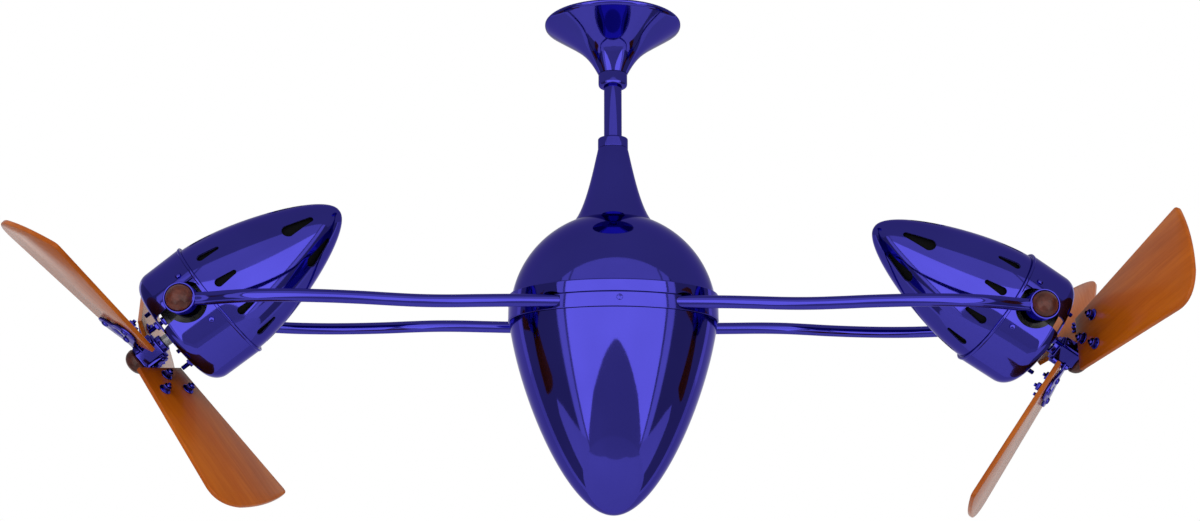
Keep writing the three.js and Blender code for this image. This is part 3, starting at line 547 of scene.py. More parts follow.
def armPassages(radius, sides=48):
    bars = []
    for side in (-1, 1):
        bar = turnPiece("passage", [(0, -130), (radius, -130), (radius, 130), (0, 130)], sides)
        bars.append(moveBy(bar, shift(y=side * body["armSpread"]) @ spin(90, "Y")))
    return bars


def makeBand(name, low, high, holes):
    s = body
    outline = roundCorners([
        (s["bandInner"], low, 0.3), (s["bandRadius"], low, 0.9),
        (s["bandRadius"], high, 0.9), (s["bandInner"], high, 0.3)], steps=4)
    band = turnPiece(name, outline, 288)
    return cutPiece(band, holes, 0.35)


def makeBandScrew():
    s = body
    head = turnPiece("bandScrew", roundCorners([
        (0, -3, 0), (s["screwRadius"], -3, 0.2), (s["screwRadius"], 0.2, 0.6), (0, 0.9, 0)],
        closed=False, steps=4), 32)
    cutPiece(head, [blockPiece("bandScrewSlot", -4, 4, -0.4, 0.4, 0.1, 2)])
    place = shift(x=s["bandRadius"] - s["screwSink"], z=s["screwLift"])
    return moveBy(head, spin(s["screwAngle"]) @ place @ spin(90, "Y") @ spin(s["screwTurn"]))


def makeBowl():
    s = body

    def surface(inset, steps):
        return curvePoints(
            (s["bowlRim"] - inset, s["bowlTop"]), (s["bowlSide"][0] - inset, s["bowlSide"][1]),
            (s["bowlTipReach"] - inset, s["bowlTip"] + inset), (0, s["bowlTip"] + inset), steps)
    return turnPiece("bowlShell", surface(0, 72)[::-1] + surface(s["wall"], 60), 192, 40)


def buildColumn():
    s = body
    lift = shift(z=layout["armPlane"])
    rodLow = layout["armPlane"] + s["neckCollarBottom"] - hanging["rodTuck"]
    for piece, node in ((makeCanopy(), "canopy"), (makeCanopyCollar(), "canopy_collar"),
                        (makeRod(rodLow), "downrod")):
        dress(piece, "ceiling_mount", "blue_chrome", [node])
    upper = makeBand("upperBand", s["split"] + s["seam"], s["bandTop"], armPassages(s["notchRadius"]))
    lower = makeBand("lowerBand", s["bandFoot"], s["split"], armPassages(s["armRadius"] + 0.5))
    for piece, node in ((makeNeckCollar(), "neck_collar"), (makeDome(), "dome_shell"), (upper, "upper_band"),
                        (lower, "lower_band"), (makeBowl(), "bowl_shell"), (makeBandScrew(), None)):
        stands = [node] if node else []
        dress(moveBy(piece, lift), "carrier", "blue_chrome", stands)


buildColumn()
print("canopy, rod and body built")


# Arms, pivot cups and wooden caps

arm = {
    "radius": 6.35,
    "route": [(9, 86.0), (50, 86.4), (100, 88.0), (132, 85.6), (165, 82.0), (192, 83.2), (218, 89.6),
              (246, 98.2), (280, 105.2), (314, 108.0), (346, 105.2), (370, 97.6), (390, 88.6), (408, 83.6)],
    "cupRadius": 15.2, "cupFace": 91.0, "cupBack": 60.9, "cupWall": 1.7, "cupDepth": 13.0,
    "cupBore": 4.3, "beadHalf": 3.0, "beadProud": 1.4,
    "capRadius": 12.9, "capProud": 9.2, "capSeat": 85.0,
}


def splinePath(points, stepsEach=8):
    # a smooth path through the given points
    ends = [tuple(2 * a - b for a, b in zip(points[0], points[1]))]
    ends += list(points) + [tuple(2 * a - b for a, b in zip(points[-1], points[-2]))]
    path = []
    for p0, p1, p2, p3 in zip(ends, ends[1:], ends[2:], ends[3:]):
        for k in range(stepsEach):
            t = k / stepsEach
            path.append(tuple(
                0.5 * (2 * b + (c - a) * t + (2 * a - 5 * b + 4 * c - d) * t * t
                       + (3 * b - a - 3 * c + d) * t ** 3)
                for a, b, c, d in zip(p0, p1, p2, p3)))
    path.append(points[-1])
    return path


def makeArm(name, sideX, sideY):
    s = arm
    path = [(x * sideX, y * sideY, 0) for x, y in splinePath(s["route"])]
    tube = sweepPiece("armTube", path, s["radius"])
    inner, floor = s["cupRadius"] - s["cupWall"], s["cupFace"] - s["cupDepth"]
    cupOutline = roundCorners([
        (s["cupBore"], s["cupBack"], 0.2), (s["cupRadius"], s["cupBack"], 1.2),
        (s["cupRadius"], s["cupFace"], 0.8), (inner, s["cupFace"], 0.5),
        (inner, floor, 0.6), (s["cupBore"], floor, 0.2)], steps=4)
    cup = turnPiece("armCup", cupOutline, 72)
    moveBy(cup, shift(x=sideX * layout["armReach"]) @ spin(-90 * sideY, "X"))
    end, before = Vector(path[-1]), Vector(path[-10])
    heading = (end - before).normalized()
    bead = turnPiece("armBead", roundCorners([
        (s["radius"] - 1, -s["beadHalf"], 0), (s["radius"] + 0.2, -s["beadHalf"], 0.1),
        (s["radius"] + s["beadProud"], 0.6, 1.0), (s["radius"] - 1, s["beadHalf"], 0)], steps=3), 40)
    facing = heading.to_track_quat("Z", "Y").to_matrix().to_4x4()
    moveBy(bead, Matrix.Translation((end - heading * 0.5) * mm) @ facing)
    return joinPieces(name, [tube, cup, bead])


def makeCap(name, sideX, sideY):
    s = arm
    ball = (s["capRadius"] ** 2 + s["capProud"] ** 2) / (2 * s["capProud"])
    edge = math.degrees(math.asin((ball - s["capProud"]) / ball))
    middle = s["cupFace"] - (ball - s["capProud"])
    dome = arcPoints((0, middle), ball, edge, 90, 18)
    dome[-1] = (0, dome[-1][1])
    cap = turnPiece(name, [(0, s["capSeat"]), (s["capRadius"], s["capSeat"])] + dome, 64)
    markGrain(cap.data, (0.3 * sideX, 0.2 * sideY, 0))
    return moveBy(cap, shift(x=sideX * layout["armReach"]) @ spin(-90 * sideY, "X"))


def buildArms():
    lift = shift(z=layout["armPlane"])
    for sideX, across in ((-1, "left"), (1, "right")):
        for sideY, along in ((-1, "front"), (1, "rear")):
            tag = across + "_" + along
            name = across.capitalize() + along.capitalize()
            dress(moveBy(makeArm("arm" + name, sideX, sideY), lift),
                  "carrier", "blue_chrome", ["arm_" + tag])
            dress(moveBy(makeCap("cap" + name, sideX, sideY), lift),
                  "carrier", "turned_wood", ["pivot_cap_" + tag])


buildArms()
print("arms built")


# Fan heads, drawn about the tilt axis with +Z to the nose

head = {
    "coverRadius": 66.6, "coverMouthEnd": 65.0, "noseEnd": 22.0, "shoulderStart": -19.5, "shoulder": 16.5,
    "coverWall": 1.9, "bead": 2.4, "beadProud": 0.7,
    "pivotHole": 20.4, "channel": 14.0, "channelLow": -45.0, "slitAt": -16.0, "slit": 1.3, "slitLow": 6.0,
    "cutFrom": 50.0, "cutTo": 72.0,
    "coneRadius": 63.2, "coneTip": 172.4, "coneWall": 1.7, "coneLap": 4.4,
    "coneSide": (61.7, 74.3), "tipReach": 23.8, "tipRise": 2.4,
    "linerGap": 4.0, "linerWall": 0.6, "linerFoot": 6.0,
    "baseVents": 11, "baseVentAt": 36.0, "baseVentLength": 17.0, "baseVentWide": 4.5, "baseVentNarrow": 2.4,
    "noseVents": 6, "noseVentAt": 119.0, "noseVentLength": 24.0, "noseVentWide": 6.6, "noseVentNarrow": 2.9,
    "baseVentPhase": 3.0, "noseVentPhase": -5.0, "baseVentFrom": 45.0, "noseVentFrom": 12.0, "ventTo": 80.0,
    "screwAngle": 25.0, "screwAt": 8.5, "screwRadius": 3.0,
}


def ventOutline(length, wide, narrow, steps=12):
    lean = math.asin((wide - narrow) / length)
    outline = []
    for i in range(steps + 1):
        angle = math.pi / 2 + lean + (math.pi - 2 * lean) * i / steps
        outline.append((wide * math.cos(angle), wide * math.sin(angle)))
    for i in range(steps + 1):
        angle = -math.pi / 2 - lean + (math.pi + 2 * lean) * i / steps
        outline.append((length + narrow * math.cos(angle), narrow * math.sin(angle)))
    return outline


def makeVentCutter(start, outline, direction, near, far):
    # a slot cut outwards through the cone, its length along Z
    angle = math.radians(direction)
    out = Vector((math.cos(angle), math.sin(angle), 0))
    across = Vector((-math.sin(angle), math.cos(angle), 0))
    points = [tuple(out * reach + across * v + Vector((0, 0, start + u)))
              for reach in (near, far) for u, v in outline]
    return addPiece("vent", points, prismFaces(len(outline)))


def coneSurface(inset, foot, steps):
    s = head
    return curvePoints(
        (s["coneRadius"] - inset, foot), (s["coneSide"][0] - inset, s["coneSide"][1]),
        (s["tipReach"] - inset, s["coneTip"] + s["tipRise"] - inset), (0, s["coneTip"] - inset), steps)


def makeNoseCone(name, front):
    # front is -90 or 90, the side that faces the photographer; the two heads are mirror images
    s = head
    foot, lapEnd = s["noseEnd"] + 0.2, s["noseEnd"] + 0.2 - s["coneLap"]
    outside = coneSurface(0, foot, 90)
    lap = [(s["coneRadius"] + 1.0, foot - 0.2), (s["coneRadius"] + 1.0, lapEnd),
           (s["coneRadius"] - s["coneWall"], lapEnd)]
    shell = turnPiece(name, outside[::-1] + lap + coneSurface(s["coneWall"], foot, 70), 180, 30)
    handed = -1 if front > 0 else 1
    cutters = []
    for row in ("base", "nose"):
        count = s[row + "Vents"]
        outline = ventOutline(s[row + "VentLength"], s[row + "VentWide"], s[row + "VentNarrow"])
        for i in range(count):
            way = front + handed * s[row + "VentPhase"] + 360 * i / count
            cutters.append(makeVentCutter(s[row + "VentAt"], outline, way, s[row + "VentFrom"], s["ventTo"]))
    cutPiece(shell, cutters, creaseAngle=30)
    # the points inside the cone get the chrome's painted shade
    markInside(shell, outside)
    return shell


def makeNoseLiner(name):
    # a thin dark liner lies just behind the vents as painted shade, so they show solid black
    s = head
    foot = s["noseEnd"] + s["linerFoot"]
    outside = coneSurface(s["linerGap"], foot, 40)
    inside = coneSurface(s["linerGap"] + s["linerWall"], foot, 40)
    return turnPiece(name, outside[:0:-1] + inside[:-1], 96)


def makeCover(name):
    s = head
    centre = (s["coverMouthEnd"] - s["shoulder"], s["shoulderStart"])
    wall = s["coverWall"]
    outer = arcPoints(centre, s["shoulder"], -90, 0, 16)
    inner = arcPoints(centre, s["shoulder"] - wall, -90, 0, 12)
    beadFoot = s["noseEnd"] - s["bead"]
    rim = roundCorners([
        (s["coverRadius"] - 0.9, beadFoot - 0.6, 0.3), (s["coverRadius"] - 0.9 + s["beadProud"], beadFoot, 0.5),
        (s["coverRadius"], s["noseEnd"], 0.7), (s["coverRadius"] - wall, s["noseEnd"], 0.3)],
        closed=False, steps=4)
    shell = turnPiece(name, outer + rim + inner[::-1], 180, 30)
    near, far = s["cutFrom"], s["cutTo"]
    for side in (-1, 1):
        low, high = sorted((side * near, side * far))
        hole = turnPiece("pivotHole", [(0, near), (s["pivotHole"], near), (s["pivotHole"], far), (0, far)], 96)
        moveBy(hole, spin(-90 * side, "X"))
        channel = blockPiece("channel", -s["channel"] / 2, s["channel"] / 2, low, high,
                             s["channelLow"], -s["pivotHole"] * 0.8)
        slit = blockPiece("slit", s["slitAt"] - s["slit"] / 2, s["slitAt"] + s["slit"] / 2, low, high,
                          s["slitLow"], beadFoot - 0.8)
        for cutter in (hole, channel, slit):
            cutPiece(shell, [cutter], creaseAngle=30)
    # the points inside the cover get the chrome's painted shade
    markInside(shell, outer + rim)
    return shell


def makeCoverScrews(name):
    s = head
    screws = []
    for side in (-90, 90):
        for turn in (-s["screwAngle"], s["screwAngle"]):
            screw = turnPiece("coverScrew", roundCorners([
                (0, -2, 0), (s["screwRadius"], -2, 0.1), (s["screwRadius"], 1.5, 0.9), (0, 2.4, 0)],
                closed=False, steps=5), 24)
            place = spin(side + turn) @ shift(x=s["coverRadius"] - 0.9, z=s["screwAt"]) @ spin(90, "Y")
            screws.append(moveBy(screw, place))
    return joinPieces(name, screws)


motor = {
    "plateTop": -24.3, "plateBottom": -29.0, "plateRadius": 46.0, "bossRadius": 14.0, "bossDrop": 5.0,
    "shaftHole": 6.4, "dish": 1.2,
    "studCircle": 36.0, "studRadius": 2.4, "studEnd": -49.0, "nutRadius": 4.6, "nutHeight": 4.0,
    "lockNutAt": -41.0, "studPhase": -11.0,
}


def makeMotorPlate(name):
    s = motor
    outline = roundCorners([
        (s["shaftHole"], s["plateBottom"] - s["bossDrop"], 0.3),
        (s["bossRadius"], s["plateBottom"] - s["bossDrop"], 1.2),
        (s["bossRadius"], s["plateBottom"] + s["dish"], 0.8),
        (s["plateRadius"] - 7, s["plateBottom"] + s["dish"], 0.8),
        (s["plateRadius"] - 5, s["plateBottom"], 0.8),
        (s["plateRadius"], s["plateBottom"], 1.0), (s["plateRadius"], s["plateTop"], 0.4),
        (s["shaftHole"], s["plateTop"], 0.2)], steps=3)
    return turnPiece(name, outline, 120)


def makeHexNut(radius, low, high):
    return turnPiece("nut", roundCorners([
        (0, low, 0), (radius, low, 0.5), (radius, high, 0.5), (0, high, 0)], closed=False, steps=2), 6)


def makeThreadedBar(radius, low, high, pitch=0.8):
    # ridges all along the bar stand for its thread
    outline = [(0, low), (radius * 0.8, low)]
    z = low + pitch / 2
    while z < high - pitch:
        outline += [(radius, z), (radius * 0.86, z + pitch / 2)]
        z += pitch
    return turnPiece("threadedBar", outline + [(radius * 0.86, high), (0, high)], 18)


def makeMotorStuds(name):
    s = motor
    parts = []
    for i in range(4):
        place = spin(s["studPhase"] + 90 * i) @ shift(x=s["studCircle"])
        bar = makeThreadedBar(s["studRadius"], s["studEnd"], s["plateBottom"] + 1)
        seated = makeHexNut(s["nutRadius"], s["plateBottom"] - s["nutHeight"], s["plateBottom"] + 0.6)
        locked = makeHexNut(s["nutRadius"], s["lockNutAt"], s["lockNutAt"] + s["nutHeight"] * 0.75)
        parts += [moveBy(p, place) for p in (bar, seated, locked)]
    return joinPieces(name, parts)


def headPlace(side):
    turn = spin(0 if side == "left" else 180)
    tilt = spin(90 - layout[side + "TiltUp"], "Y")
    return shift(z=layout["armPlane"]) @ turn @ shift(x=-layout["armReach"]) @ tilt


def buildHeads():
    kinds = (("cover", makeCover, "blue_chrome", "motor_cover_"),
             ("coverScrews", makeCoverScrews, "blue_chrome", None),
             ("motorPlate", makeMotorPlate, "black_enamel", "bearing_plate_"),
             ("motorStuds", makeMotorStuds, "blue_chrome", None))
    shapes = [make(name + "Shape") for name, make, slotName, node in kinds]
    for side, front in (("left", -90), ("right", 90)):
        label, place, rides = side.capitalize(), headPlace(side), "head_" + side
        cone = moveBy(makeNoseCone("noseCone" + label, front), place)
        dress(cone, rides, "blue_chrome", ["nose_cone_" + side])
        for shape, (name, make, slotName, node) in zip(shapes, kinds):
            stands = [node + side] if node else []
            dress(copyOf(shape, name + label, place), rides, slotName, stands)
        # the liner is painted shade behind the vents
        dress(moveBy(makeNoseLiner("noseLiner" + label), place), rides, "dark_plastic")
    for shape in shapes:
        bpy.data.objects.remove(shape)


buildHeads()
print("heads built")


# Rotors

blade = {
    "plane": 65.6, "pitch": 21.0, "thickness": 4.5, "sweep": 198.06,
    "rootReach": 20.0, "rootHalf": 32.0, "heelAngle": 17.3, "heelRound": 5.0,
    "toeReach": 190.0, "toeHalf": 54.0, "toeRound": 31.0, "edge": 0.9,
    "bolts": [(31.0, 0.0), (50.0, -18.0), (50.0, 18.0)],
}


def bladeOutline():
    s = blade
    heel = math.radians(s["heelAngle"])
    heelPoint = Vector((s["sweep"] * math.cos(heel), s["sweep"] * math.sin(heel)))
    side = Vector((s["toeReach"] - s["rootReach"], -(s["toeHalf"] - s["rootHalf"]))).normalized()
    toeCorner = Vector((s["toeReach"], -s["toeHalf"]))
    toeStart = toeCorner - side * s["toeRound"] * 0.75
    toeAngle = math.atan2(-s["toeHalf"], s["toeReach"]) + s["toeRound"] / s["sweep"]
    toeEnd = Vector((s["sweep"] * math.cos(toeAngle), s["sweep"] * math.sin(toeAngle)))
    heelStartAngle = heel - s["heelRound"] / s["sweep"]
    back = (Vector((s["rootReach"], s["rootHalf"])) - heelPoint).normalized()
    outline = []

    def straight(a, b, steps):
        outline.extend((a.x + (b.x - a.x) * k / steps, a.y + (b.y - a.y) * k / steps) for k in range(steps))

    def bent(a, corner, b, steps):
        outline.extend(bendPoints(a, corner, b, steps)[:-1])
    straight(Vector((s["rootReach"], -s["rootHalf"])), toeStart, 14)
    bent(toeStart, toeCorner, toeEnd, 12)
    outline.extend(arcPoints((0, 0), s["sweep"], math.degrees(toeAngle), math.degrees(heelStartAngle), 18)[:-1])
    heelStart = Vector((s["sweep"] * math.cos(heelStartAngle), s["sweep"] * math.sin(heelStartAngle)))
    bent(heelStart, heelPoint, heelPoint + back * s["heelRound"], 6)
    straight(heelPoint + back * s["heelRound"], Vector((s["rootReach"], s["rootHalf"])), 14)
    straight(Vector((s["rootReach"], s["rootHalf"])), Vector((s["rootReach"], -s["rootHalf"])), 4)
    return outline


def makeBlade(name):
    return platePiece(name, bladeOutline(), -blade["thickness"], 0, blade["edge"])


iron = {
    "gap": 0.3, "thickness": 2.5, "neckHalf": 8.0, "round": 9.0,
    "tabThickness": 3.0, "tabWidth": 12.0, "tabLow": -75.0, "tabHigh": -55.0, "hubFace": 12.3,
    "boltRadius": 2.1, "boltEnd": 8.5, "nutRadius": 4.5, "nutHeight": 3.6, "nutSeat": 2.2,
    "washerRadius": 6.2, "washerInner": 3.6, "washerTop": 2.6,
    "headRadius": 3.8, "headHeight": 1.9,
}


def makeIron(name):
    s = iron
    top = -blade["thickness"] - s["gap"]
    back = top - s["thickness"]
    rootX, outerX, outerY = blade["bolts"][0][0], blade["bolts"][1][0], blade["bolts"][2][1]
    shoulder = outerY + s["round"]
    half = [(s["hubFace"], s["neckHalf"], 1.0), (rootX - 8, s["neckHalf"], 5.0),
            (outerX - 9, shoulder, 6.0), (outerX + 6, shoulder, 7.0),
            (outerX + 9.5, outerY - 6, 5.0), (outerX + 5.0, 0, 8.0)]
    lower = [(x, -y, r) for x, y, r in half]
    outline = roundCorners(lower + half[:-1][::-1], steps=6)
    plate = platePiece("ironLeaf", outline, back, top, 0.5)
    slotOutline = roundCorners([
        (rootX + 6, -3.2, 3), (outerX - 1, -3.2, 3), (outerX - 1, 3.2, 3), (rootX + 6, 3.2, 3)], steps=5)
    slotPoints = [(x, y, z) for z in (back - 2, top + 2) for x, y in slotOutline]
    slotCut = addPiece("ironSlot", slotPoints, prismFaces(len(slotOutline)))
    cutPiece(plate, [slotCut], 0.3)
    parts = [plate]
    for x, y in blade["bolts"]:
        place = shift(x=x, y=y)
        headOutline = roundCorners([
            (0, back - s["headHeight"], 0), (s["headRadius"] * 0.7, back - s["headHeight"], 1.0),
            (s["headRadius"], back - 0.4, 0.5), (s["headRadius"], back + 0.2, 0), (0, back + 0.2, 0)],
            closed=False, steps=4)
        washer = turnPiece("washer", roundCorners([
            (0, 0.2, 0), (s["washerRadius"], 0.2, 0.2), (s["washerRadius"], 1.0, 0.3),
            (s["washerInner"], s["washerTop"], 0.4), (0, s["washerTop"], 0)], closed=False, steps=3), 32)
        made = [turnPiece("screwHead", headOutline, 28), washer,
                makeThreadedBar(s["boltRadius"], back - 0.5, s["boltEnd"]),
                makeHexNut(s["nutRadius"], s["nutSeat"], s["nutSeat"] + s["nutHeight"])]
        parts += [moveBy(p, place) for p in made]
    for p in parts:
        moveBy(p, shift(z=-blade["plane"]) @ spin(blade["pitch"], "X"))
    tabOutline = roundCorners([
        (-s["tabWidth"] / 2, s["tabLow"], 1.5), (s["tabWidth"] / 2, s["tabLow"], 1.5),
        (s["tabWidth"] / 2, s["tabHigh"], 1.5), (-s["tabWidth"] / 2, s["tabHigh"], 1.5)], steps=4)
    tab = platePiece("ironTab", tabOutline, 0, s["tabThickness"], 0.4)
    stand = Matrix(((0, 0, 1, s["hubFace"] * mm), (1, 0, 0, 0), (0, 1, 0, 0), (0, 0, 0, 1)))
    parts.append(moveBy(tab, stand))
    for z in (s["tabLow"] + 4, s["tabHigh"] - 4):
        rivet = turnPiece("tabScrew", roundCorners([
            (0, -0.4, 0), (2.4, -0.4, 0.1), (2.4, 0.7, 0.6), (0, 1.3, 0)], closed=False, steps=4), 24)
        parts.append(moveBy(rivet, shift(x=s["hubFace"] + s["tabThickness"], z=z) @ spin(90, "Y")))
    return joinPieces(name, parts)


hub = {
    "bore": 6.3, "flats": 24.0, "front": -53.0, "back": -77.0, "bevel": 1.4,
    "neckRadius": 9.0, "neckTop": -48.0,
    "finialRadius": 13.9, "finialHeight": 13.3, "finialTop": -77.3,
}


def makeHub(name):
    s = hub
    corner = s["flats"] / 2 / math.cos(math.pi / 6)
    prism = turnPiece("hubPrism", roundCorners([
        (s["bore"], s["back"], 0.3), (corner, s["back"], s["bevel"]), (corner, s["front"], s["bevel"]),
        (s["bore"], s["front"], 0.3)], steps=3), 6)
    moveBy(prism, spin(30))
    neck = turnPiece("hubNeck", roundCorners([
        (s["bore"], s["front"] - 2, 0.2), (s["neckRadius"], s["front"] - 2, 0.2),
        (s["neckRadius"], s["neckTop"], 1.2), (s["bore"], s["neckTop"], 0.3)], steps=4), 64)
    return joinPieces(name, [prism, neck])


def makeFinial(name):
    s = hub
    top, low = s["finialTop"], s["finialTop"] - s["finialHeight"]
    dome = curvePoints((0, low), (s["finialRadius"] * 0.62, low), (s["finialRadius"], low + 4.6),
                       (s["finialRadius"], top - 1.4), 22)
    rim = [(s["finialRadius"] - 0.7, top - 0.3), (s["finialRadius"] - 1.6, top), (0, top)]
    return turnPiece(name, dome + rim, 80)


def buildRotors():
    oneBlade, oneIron = makeBlade("bladeShape"), makeIron("ironShape")
    oneHub, oneFinial = makeHub("hubShape"), makeFinial("finialShape")
    for side in ("left", "right"):
        label = side.capitalize()
        rides = "rotor_" + side
        place = headPlace(side) @ spin(layout[side + "RotorPhase"])
        dress(copyOf(oneHub, "hub" + label, place), rides, "blue_chrome", ["blade_hub_" + side])
        dress(copyOf(oneFinial, "finial" + label, place), rides, "turned_wood", ["finial_" + side])
        for i in range(layout["bladeCount"]):
            turn = place @ spin(360 * i / layout["bladeCount"])
            tag = "%s_%d" % (side, i + 1)
            flat = turn @ shift(z=-blade["plane"]) @ spin(blade["pitch"], "X")
            dress(copyOf(oneBlade, "blade%s%d" % (label, i + 1), flat, (0.4 * i, 0.9 * i + 0.5, 0.3)),
                  rides, "blade_wood", ["blade_" + tag])
            dress(copyOf(oneIron, "iron%s%d" % (label, i + 1), turn),
                  rides, "blue_chrome", ["blade_iron_" + tag])
    for shape in (oneBlade, oneIron, oneHub, oneFinial):
        bpy.data.objects.remove(shape)


buildRotors()
print("rotors built")


# CAD pieces that stay in view or inside, each with its own finish

slotOfNode = {row["node"]: row["material_slot"] for row in frame["record"]["subparts"]}
for nodeName, node in frame["nodes"].items():
    node.data.materials.clear()
    node.data.materials.append(finishes[slotOfNode[nodeName]])
print("kept pieces finished")


# Floor, light and camera

studio = {
    "floorZ": -1.75, "floorSize": 14.0, "worldDiffuse": 0.84,
    "lens": 38.70, "sensor": 36.0,
    "cameraAt": (-0.07095, -1.320, -0.53057), "cameraTurn": (101.52, 0.0, -2.48),
    "lamps": [  # where, aimed at, width, height, strength
        ((-0.55, -2.1, 0.55), (0, 0, -0.35), 1.1, 1.4, 3.0),
        ((2.2, -0.9, 0.2), (0.2, 0, -0.35), 1.0, 1.4, 1.7),
        ((-2.3, 0.4, 0.3), (-0.2, 0, -0.35), 1.0, 1.4, 2.4),
    ],
    # curved cards round the fan, seen only in the metal: from and to in degrees from the
    # front, low and high in metres, distance, strength
    "cards": [
        ("frontWindow", -53, 53, -1.70, 0.10, 1.25, 2.3),
        ("frontSky", -53, 53, 0.11, 1.30, 1.25, 1.05),
        ("leftEdge", -63, -55.5, -1.70, 0.30, 1.25, 1.35),
        ("rightEdge", 55.5, 63, -1.70, 0.30, 1.25, 1.35),
        ("leftPost", -55.5, -53, -1.70, 0.69, 1.25, 0.5),
        ("rightPost", 53, 55.5, -1.70, 0.69, 1.25, 0.5),
        ("leftScreen", -118, -64, -1.70, 0.50, 1.22, 0.29),
        ("rightScreen", 64, 118, -1.70, 0.50, 1.22, 0.29),
        ("backScreen", 126, 234, -1.70, 0.50, 1.30, 0.68),
    ],
    "ceilingCard": (-1.10, 1.10, -0.30, 1.40, 0.03, 0.48),      # x, x, y, y, height, strength
    "cardFoot": -1.72,
    # the dark hill in front: degrees to either side of the front and height
    "hill": [(2, -0.735), (5, -0.76), (10, -0.815), (15, -0.88), (20, -0.96), (27, -1.07), (31, -1.13),
             (36, -1.24), (43, -1.38), (50, -1.50), (57, -1.70)],
    "hillReach": 1.20, "hillStrength": 0.55,
    # the floor's pale edge rises at both sides of the hill
    "wings": [(56, -1.52), (60, -1.45), (66, -1.32), (71, -1.22), (76, -1.12), (81, -1.02),
              (88, -0.92), (92, -1.00)],
    "wingReach": 1.19, "wingStrength": 1.0,
    # near edge, its half width, far arc, half angle, height, strength
    "floorCard": (0.84, 0.42, 1.22, 62, -1.69, 0.62),
}


def makeFloor():
    s = studio
    half = s["floorSize"] / 2
    work = bmesh.new()
    bmesh.ops.create_grid(work, x_segments=8, y_segments=8, size=half)
    mesh = bpy.data.meshes.new("studioFloor")
    work.to_mesh(mesh)
    work.free()
    floor = bpy.data.objects.new("studioFloor", mesh)
    floor.location = (0, 0, s["floorZ"])
    scene.collection.objects.link(floor)
    finish, tree, shader = newFinish("floorPaint", Roughness=0.9)
    clouds = addNoise(tree, 2, detail=1)
    tint = addRamp(tree, clouds.outputs["Fac"], [
        (0.3, colour(240, 240, 241)), (0.7, colour(243, 243, 243))])
    feed(tree, shader, Base_Color=tint)
    mesh.materials.append(finish)


def makeWorld():
    world = bpy.data.worlds.new("studioWorld")
    scene.world = world
    world.use_nodes = True
    tree = world.node_tree
    background = tree.nodes["Background"]
    rays = tree.nodes.new("ShaderNodeLightPath")
    plainWhite = rays.outputs["Is Camera Ray"]
    for kind in ("Is Glossy Ray", "Is Transmission Ray"):
        either = tree.nodes.new("ShaderNodeMath")
        either.operation = "MAXIMUM"
        tree.links.new(plainWhite, either.inputs[0])
        tree.links.new(rays.outputs[kind], either.inputs[1])
        plainWhite = either.outputs[0]
    level = tree.nodes.new("ShaderNodeMapRange")
    level.inputs["To Min"].default_value = studio["worldDiffuse"]
    level.inputs["To Max"].default_value = 1.0
    tree.links.new(plainWhite, level.inputs["Value"])
    tree.links.new(level.outputs["Result"], background.inputs["Strength"])
    background.inputs["Color"].default_value = (1, 1, 1, 1)


def makeCard(name, points, faces, strength):
    # a board of plain light that only polished surfaces show
    mesh = bpy.data.meshes.new(name)
    mesh.from_pydata(points, [], faces)
    card = bpy.data.objects.new(name, mesh)
    scene.collection.objects.link(card)
    finish = bpy.data.materials.new(name)
    finish.use_nodes = True
    tree = finish.node_tree
    tree.nodes.clear()
    glow = tree.nodes.new("ShaderNodeEmission")
    output = tree.nodes.new("ShaderNodeOutputMaterial")
    clouds = addNoise(tree, 1.3, detail=2)
    tone = addRamp(tree, clouds.outputs["Fac"], [(0.3, 0.94), (0.7, 1.0)])
    tree.links.new(tone, glow.inputs["Color"])
    glow.inputs["Strength"].default_value = strength
    tree.links.new(glow.outputs["Emission"], output.inputs["Surface"])
    mesh.materials.append(finish)
    card.visible_camera = card.visible_diffuse = card.visible_shadow = False
    card.visible_transmission = card.visible_volume_scatter = False


def stripFaces(count):
    return [(2 * i, 2 * i + 2, 2 * i + 3, 2 * i + 1) for i in range(count - 1)]


def makeStrip(name, tops, low, reach, strength):
    # a card bent round the fan; its top edge is given as degrees from the front and height
    points = []
    for degrees, high in tops:
        x, y = reach * math.sin(math.radians(degrees)), -reach * math.cos(math.radians(degrees))
        points += [(x, y, low), (x, y, high)]
    makeCard(name, points, stripFaces(len(tops)), strength)


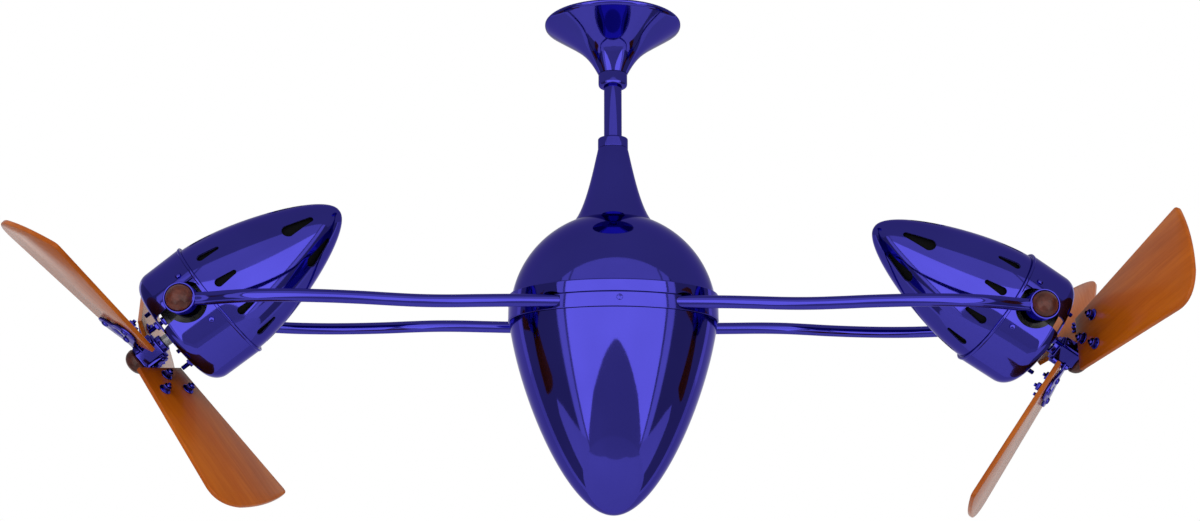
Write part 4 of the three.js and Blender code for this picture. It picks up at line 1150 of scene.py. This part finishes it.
def makeCards():
    s = studio
    steps = 24
    for name, start, end, low, high, reach, strength in s["cards"]:
        tops = [(start + (end - start) * i / steps, high) for i in range(steps + 1)]
        makeStrip(name, tops, low, reach, strength)
    x0, x1, y0, y1, height, strength = s["ceilingCard"]
    makeCard("ceilingCard", [(x0, y0, height), (x1, y0, height), (x1, y1, height), (x0, y1, height)],
             [(0, 1, 2, 3)], strength)
    hill = [(-degrees, z) for degrees, z in reversed(s["hill"])] + s["hill"]
    makeStrip("hillCard", hill, s["cardFoot"], s["hillReach"], s["hillStrength"])
    for side, label in ((-1, "Left"), (1, "Right")):
        tops = [(side * degrees, z) for degrees, z in s["wings"]]
        makeStrip("wingCard" + label, tops, s["cardFoot"], s["wingReach"], s["wingStrength"])
    near, nearHalf, far, half, height, strength = s["floorCard"]
    points = []
    for i in range(steps + 1):
        share = 2 * i / steps - 1
        angle = math.radians(half * share)
        points += [(nearHalf * share, -near, height),
                   (far * math.sin(angle), -far * math.cos(angle), height)]
    makeCard("floorCard", points, stripFaces(steps + 1), strength)


def makeLamps():
    for i, (place, target, width, height, strength) in enumerate(studio["lamps"]):
        lamp = bpy.data.lights.new("softbox%d" % (i + 1), "AREA")
        lamp.shape = "RECTANGLE"
        lamp.size, lamp.size_y = width, height
        lamp.energy = strength * math.pi * width * height
        holder = bpy.data.objects.new("softbox%d" % (i + 1), lamp)
        holder.location = place
        away = Vector(place) - Vector(target)
        holder.rotation_euler = away.to_track_quat("Z", "Y").to_euler()
        holder.visible_camera = holder.visible_glossy = False
        scene.collection.objects.link(holder)


def makeCamera():
    s = studio
    data = bpy.data.cameras.new("photoCamera")
    data.lens, data.sensor_width = s["lens"], s["sensor"]
    camera = bpy.data.objects.new("photoCamera", data)
    camera.location = s["cameraAt"]
    camera.rotation_euler = [math.radians(v) for v in s["cameraTurn"]]
    scene.collection.objects.link(camera)
    scene.camera = camera


makeFloor()
makeWorld()
makeLamps()
makeCards()
makeCamera()
scene.view_settings.view_transform = "Standard"
print("studio set")

bpy.context.view_layer.update()
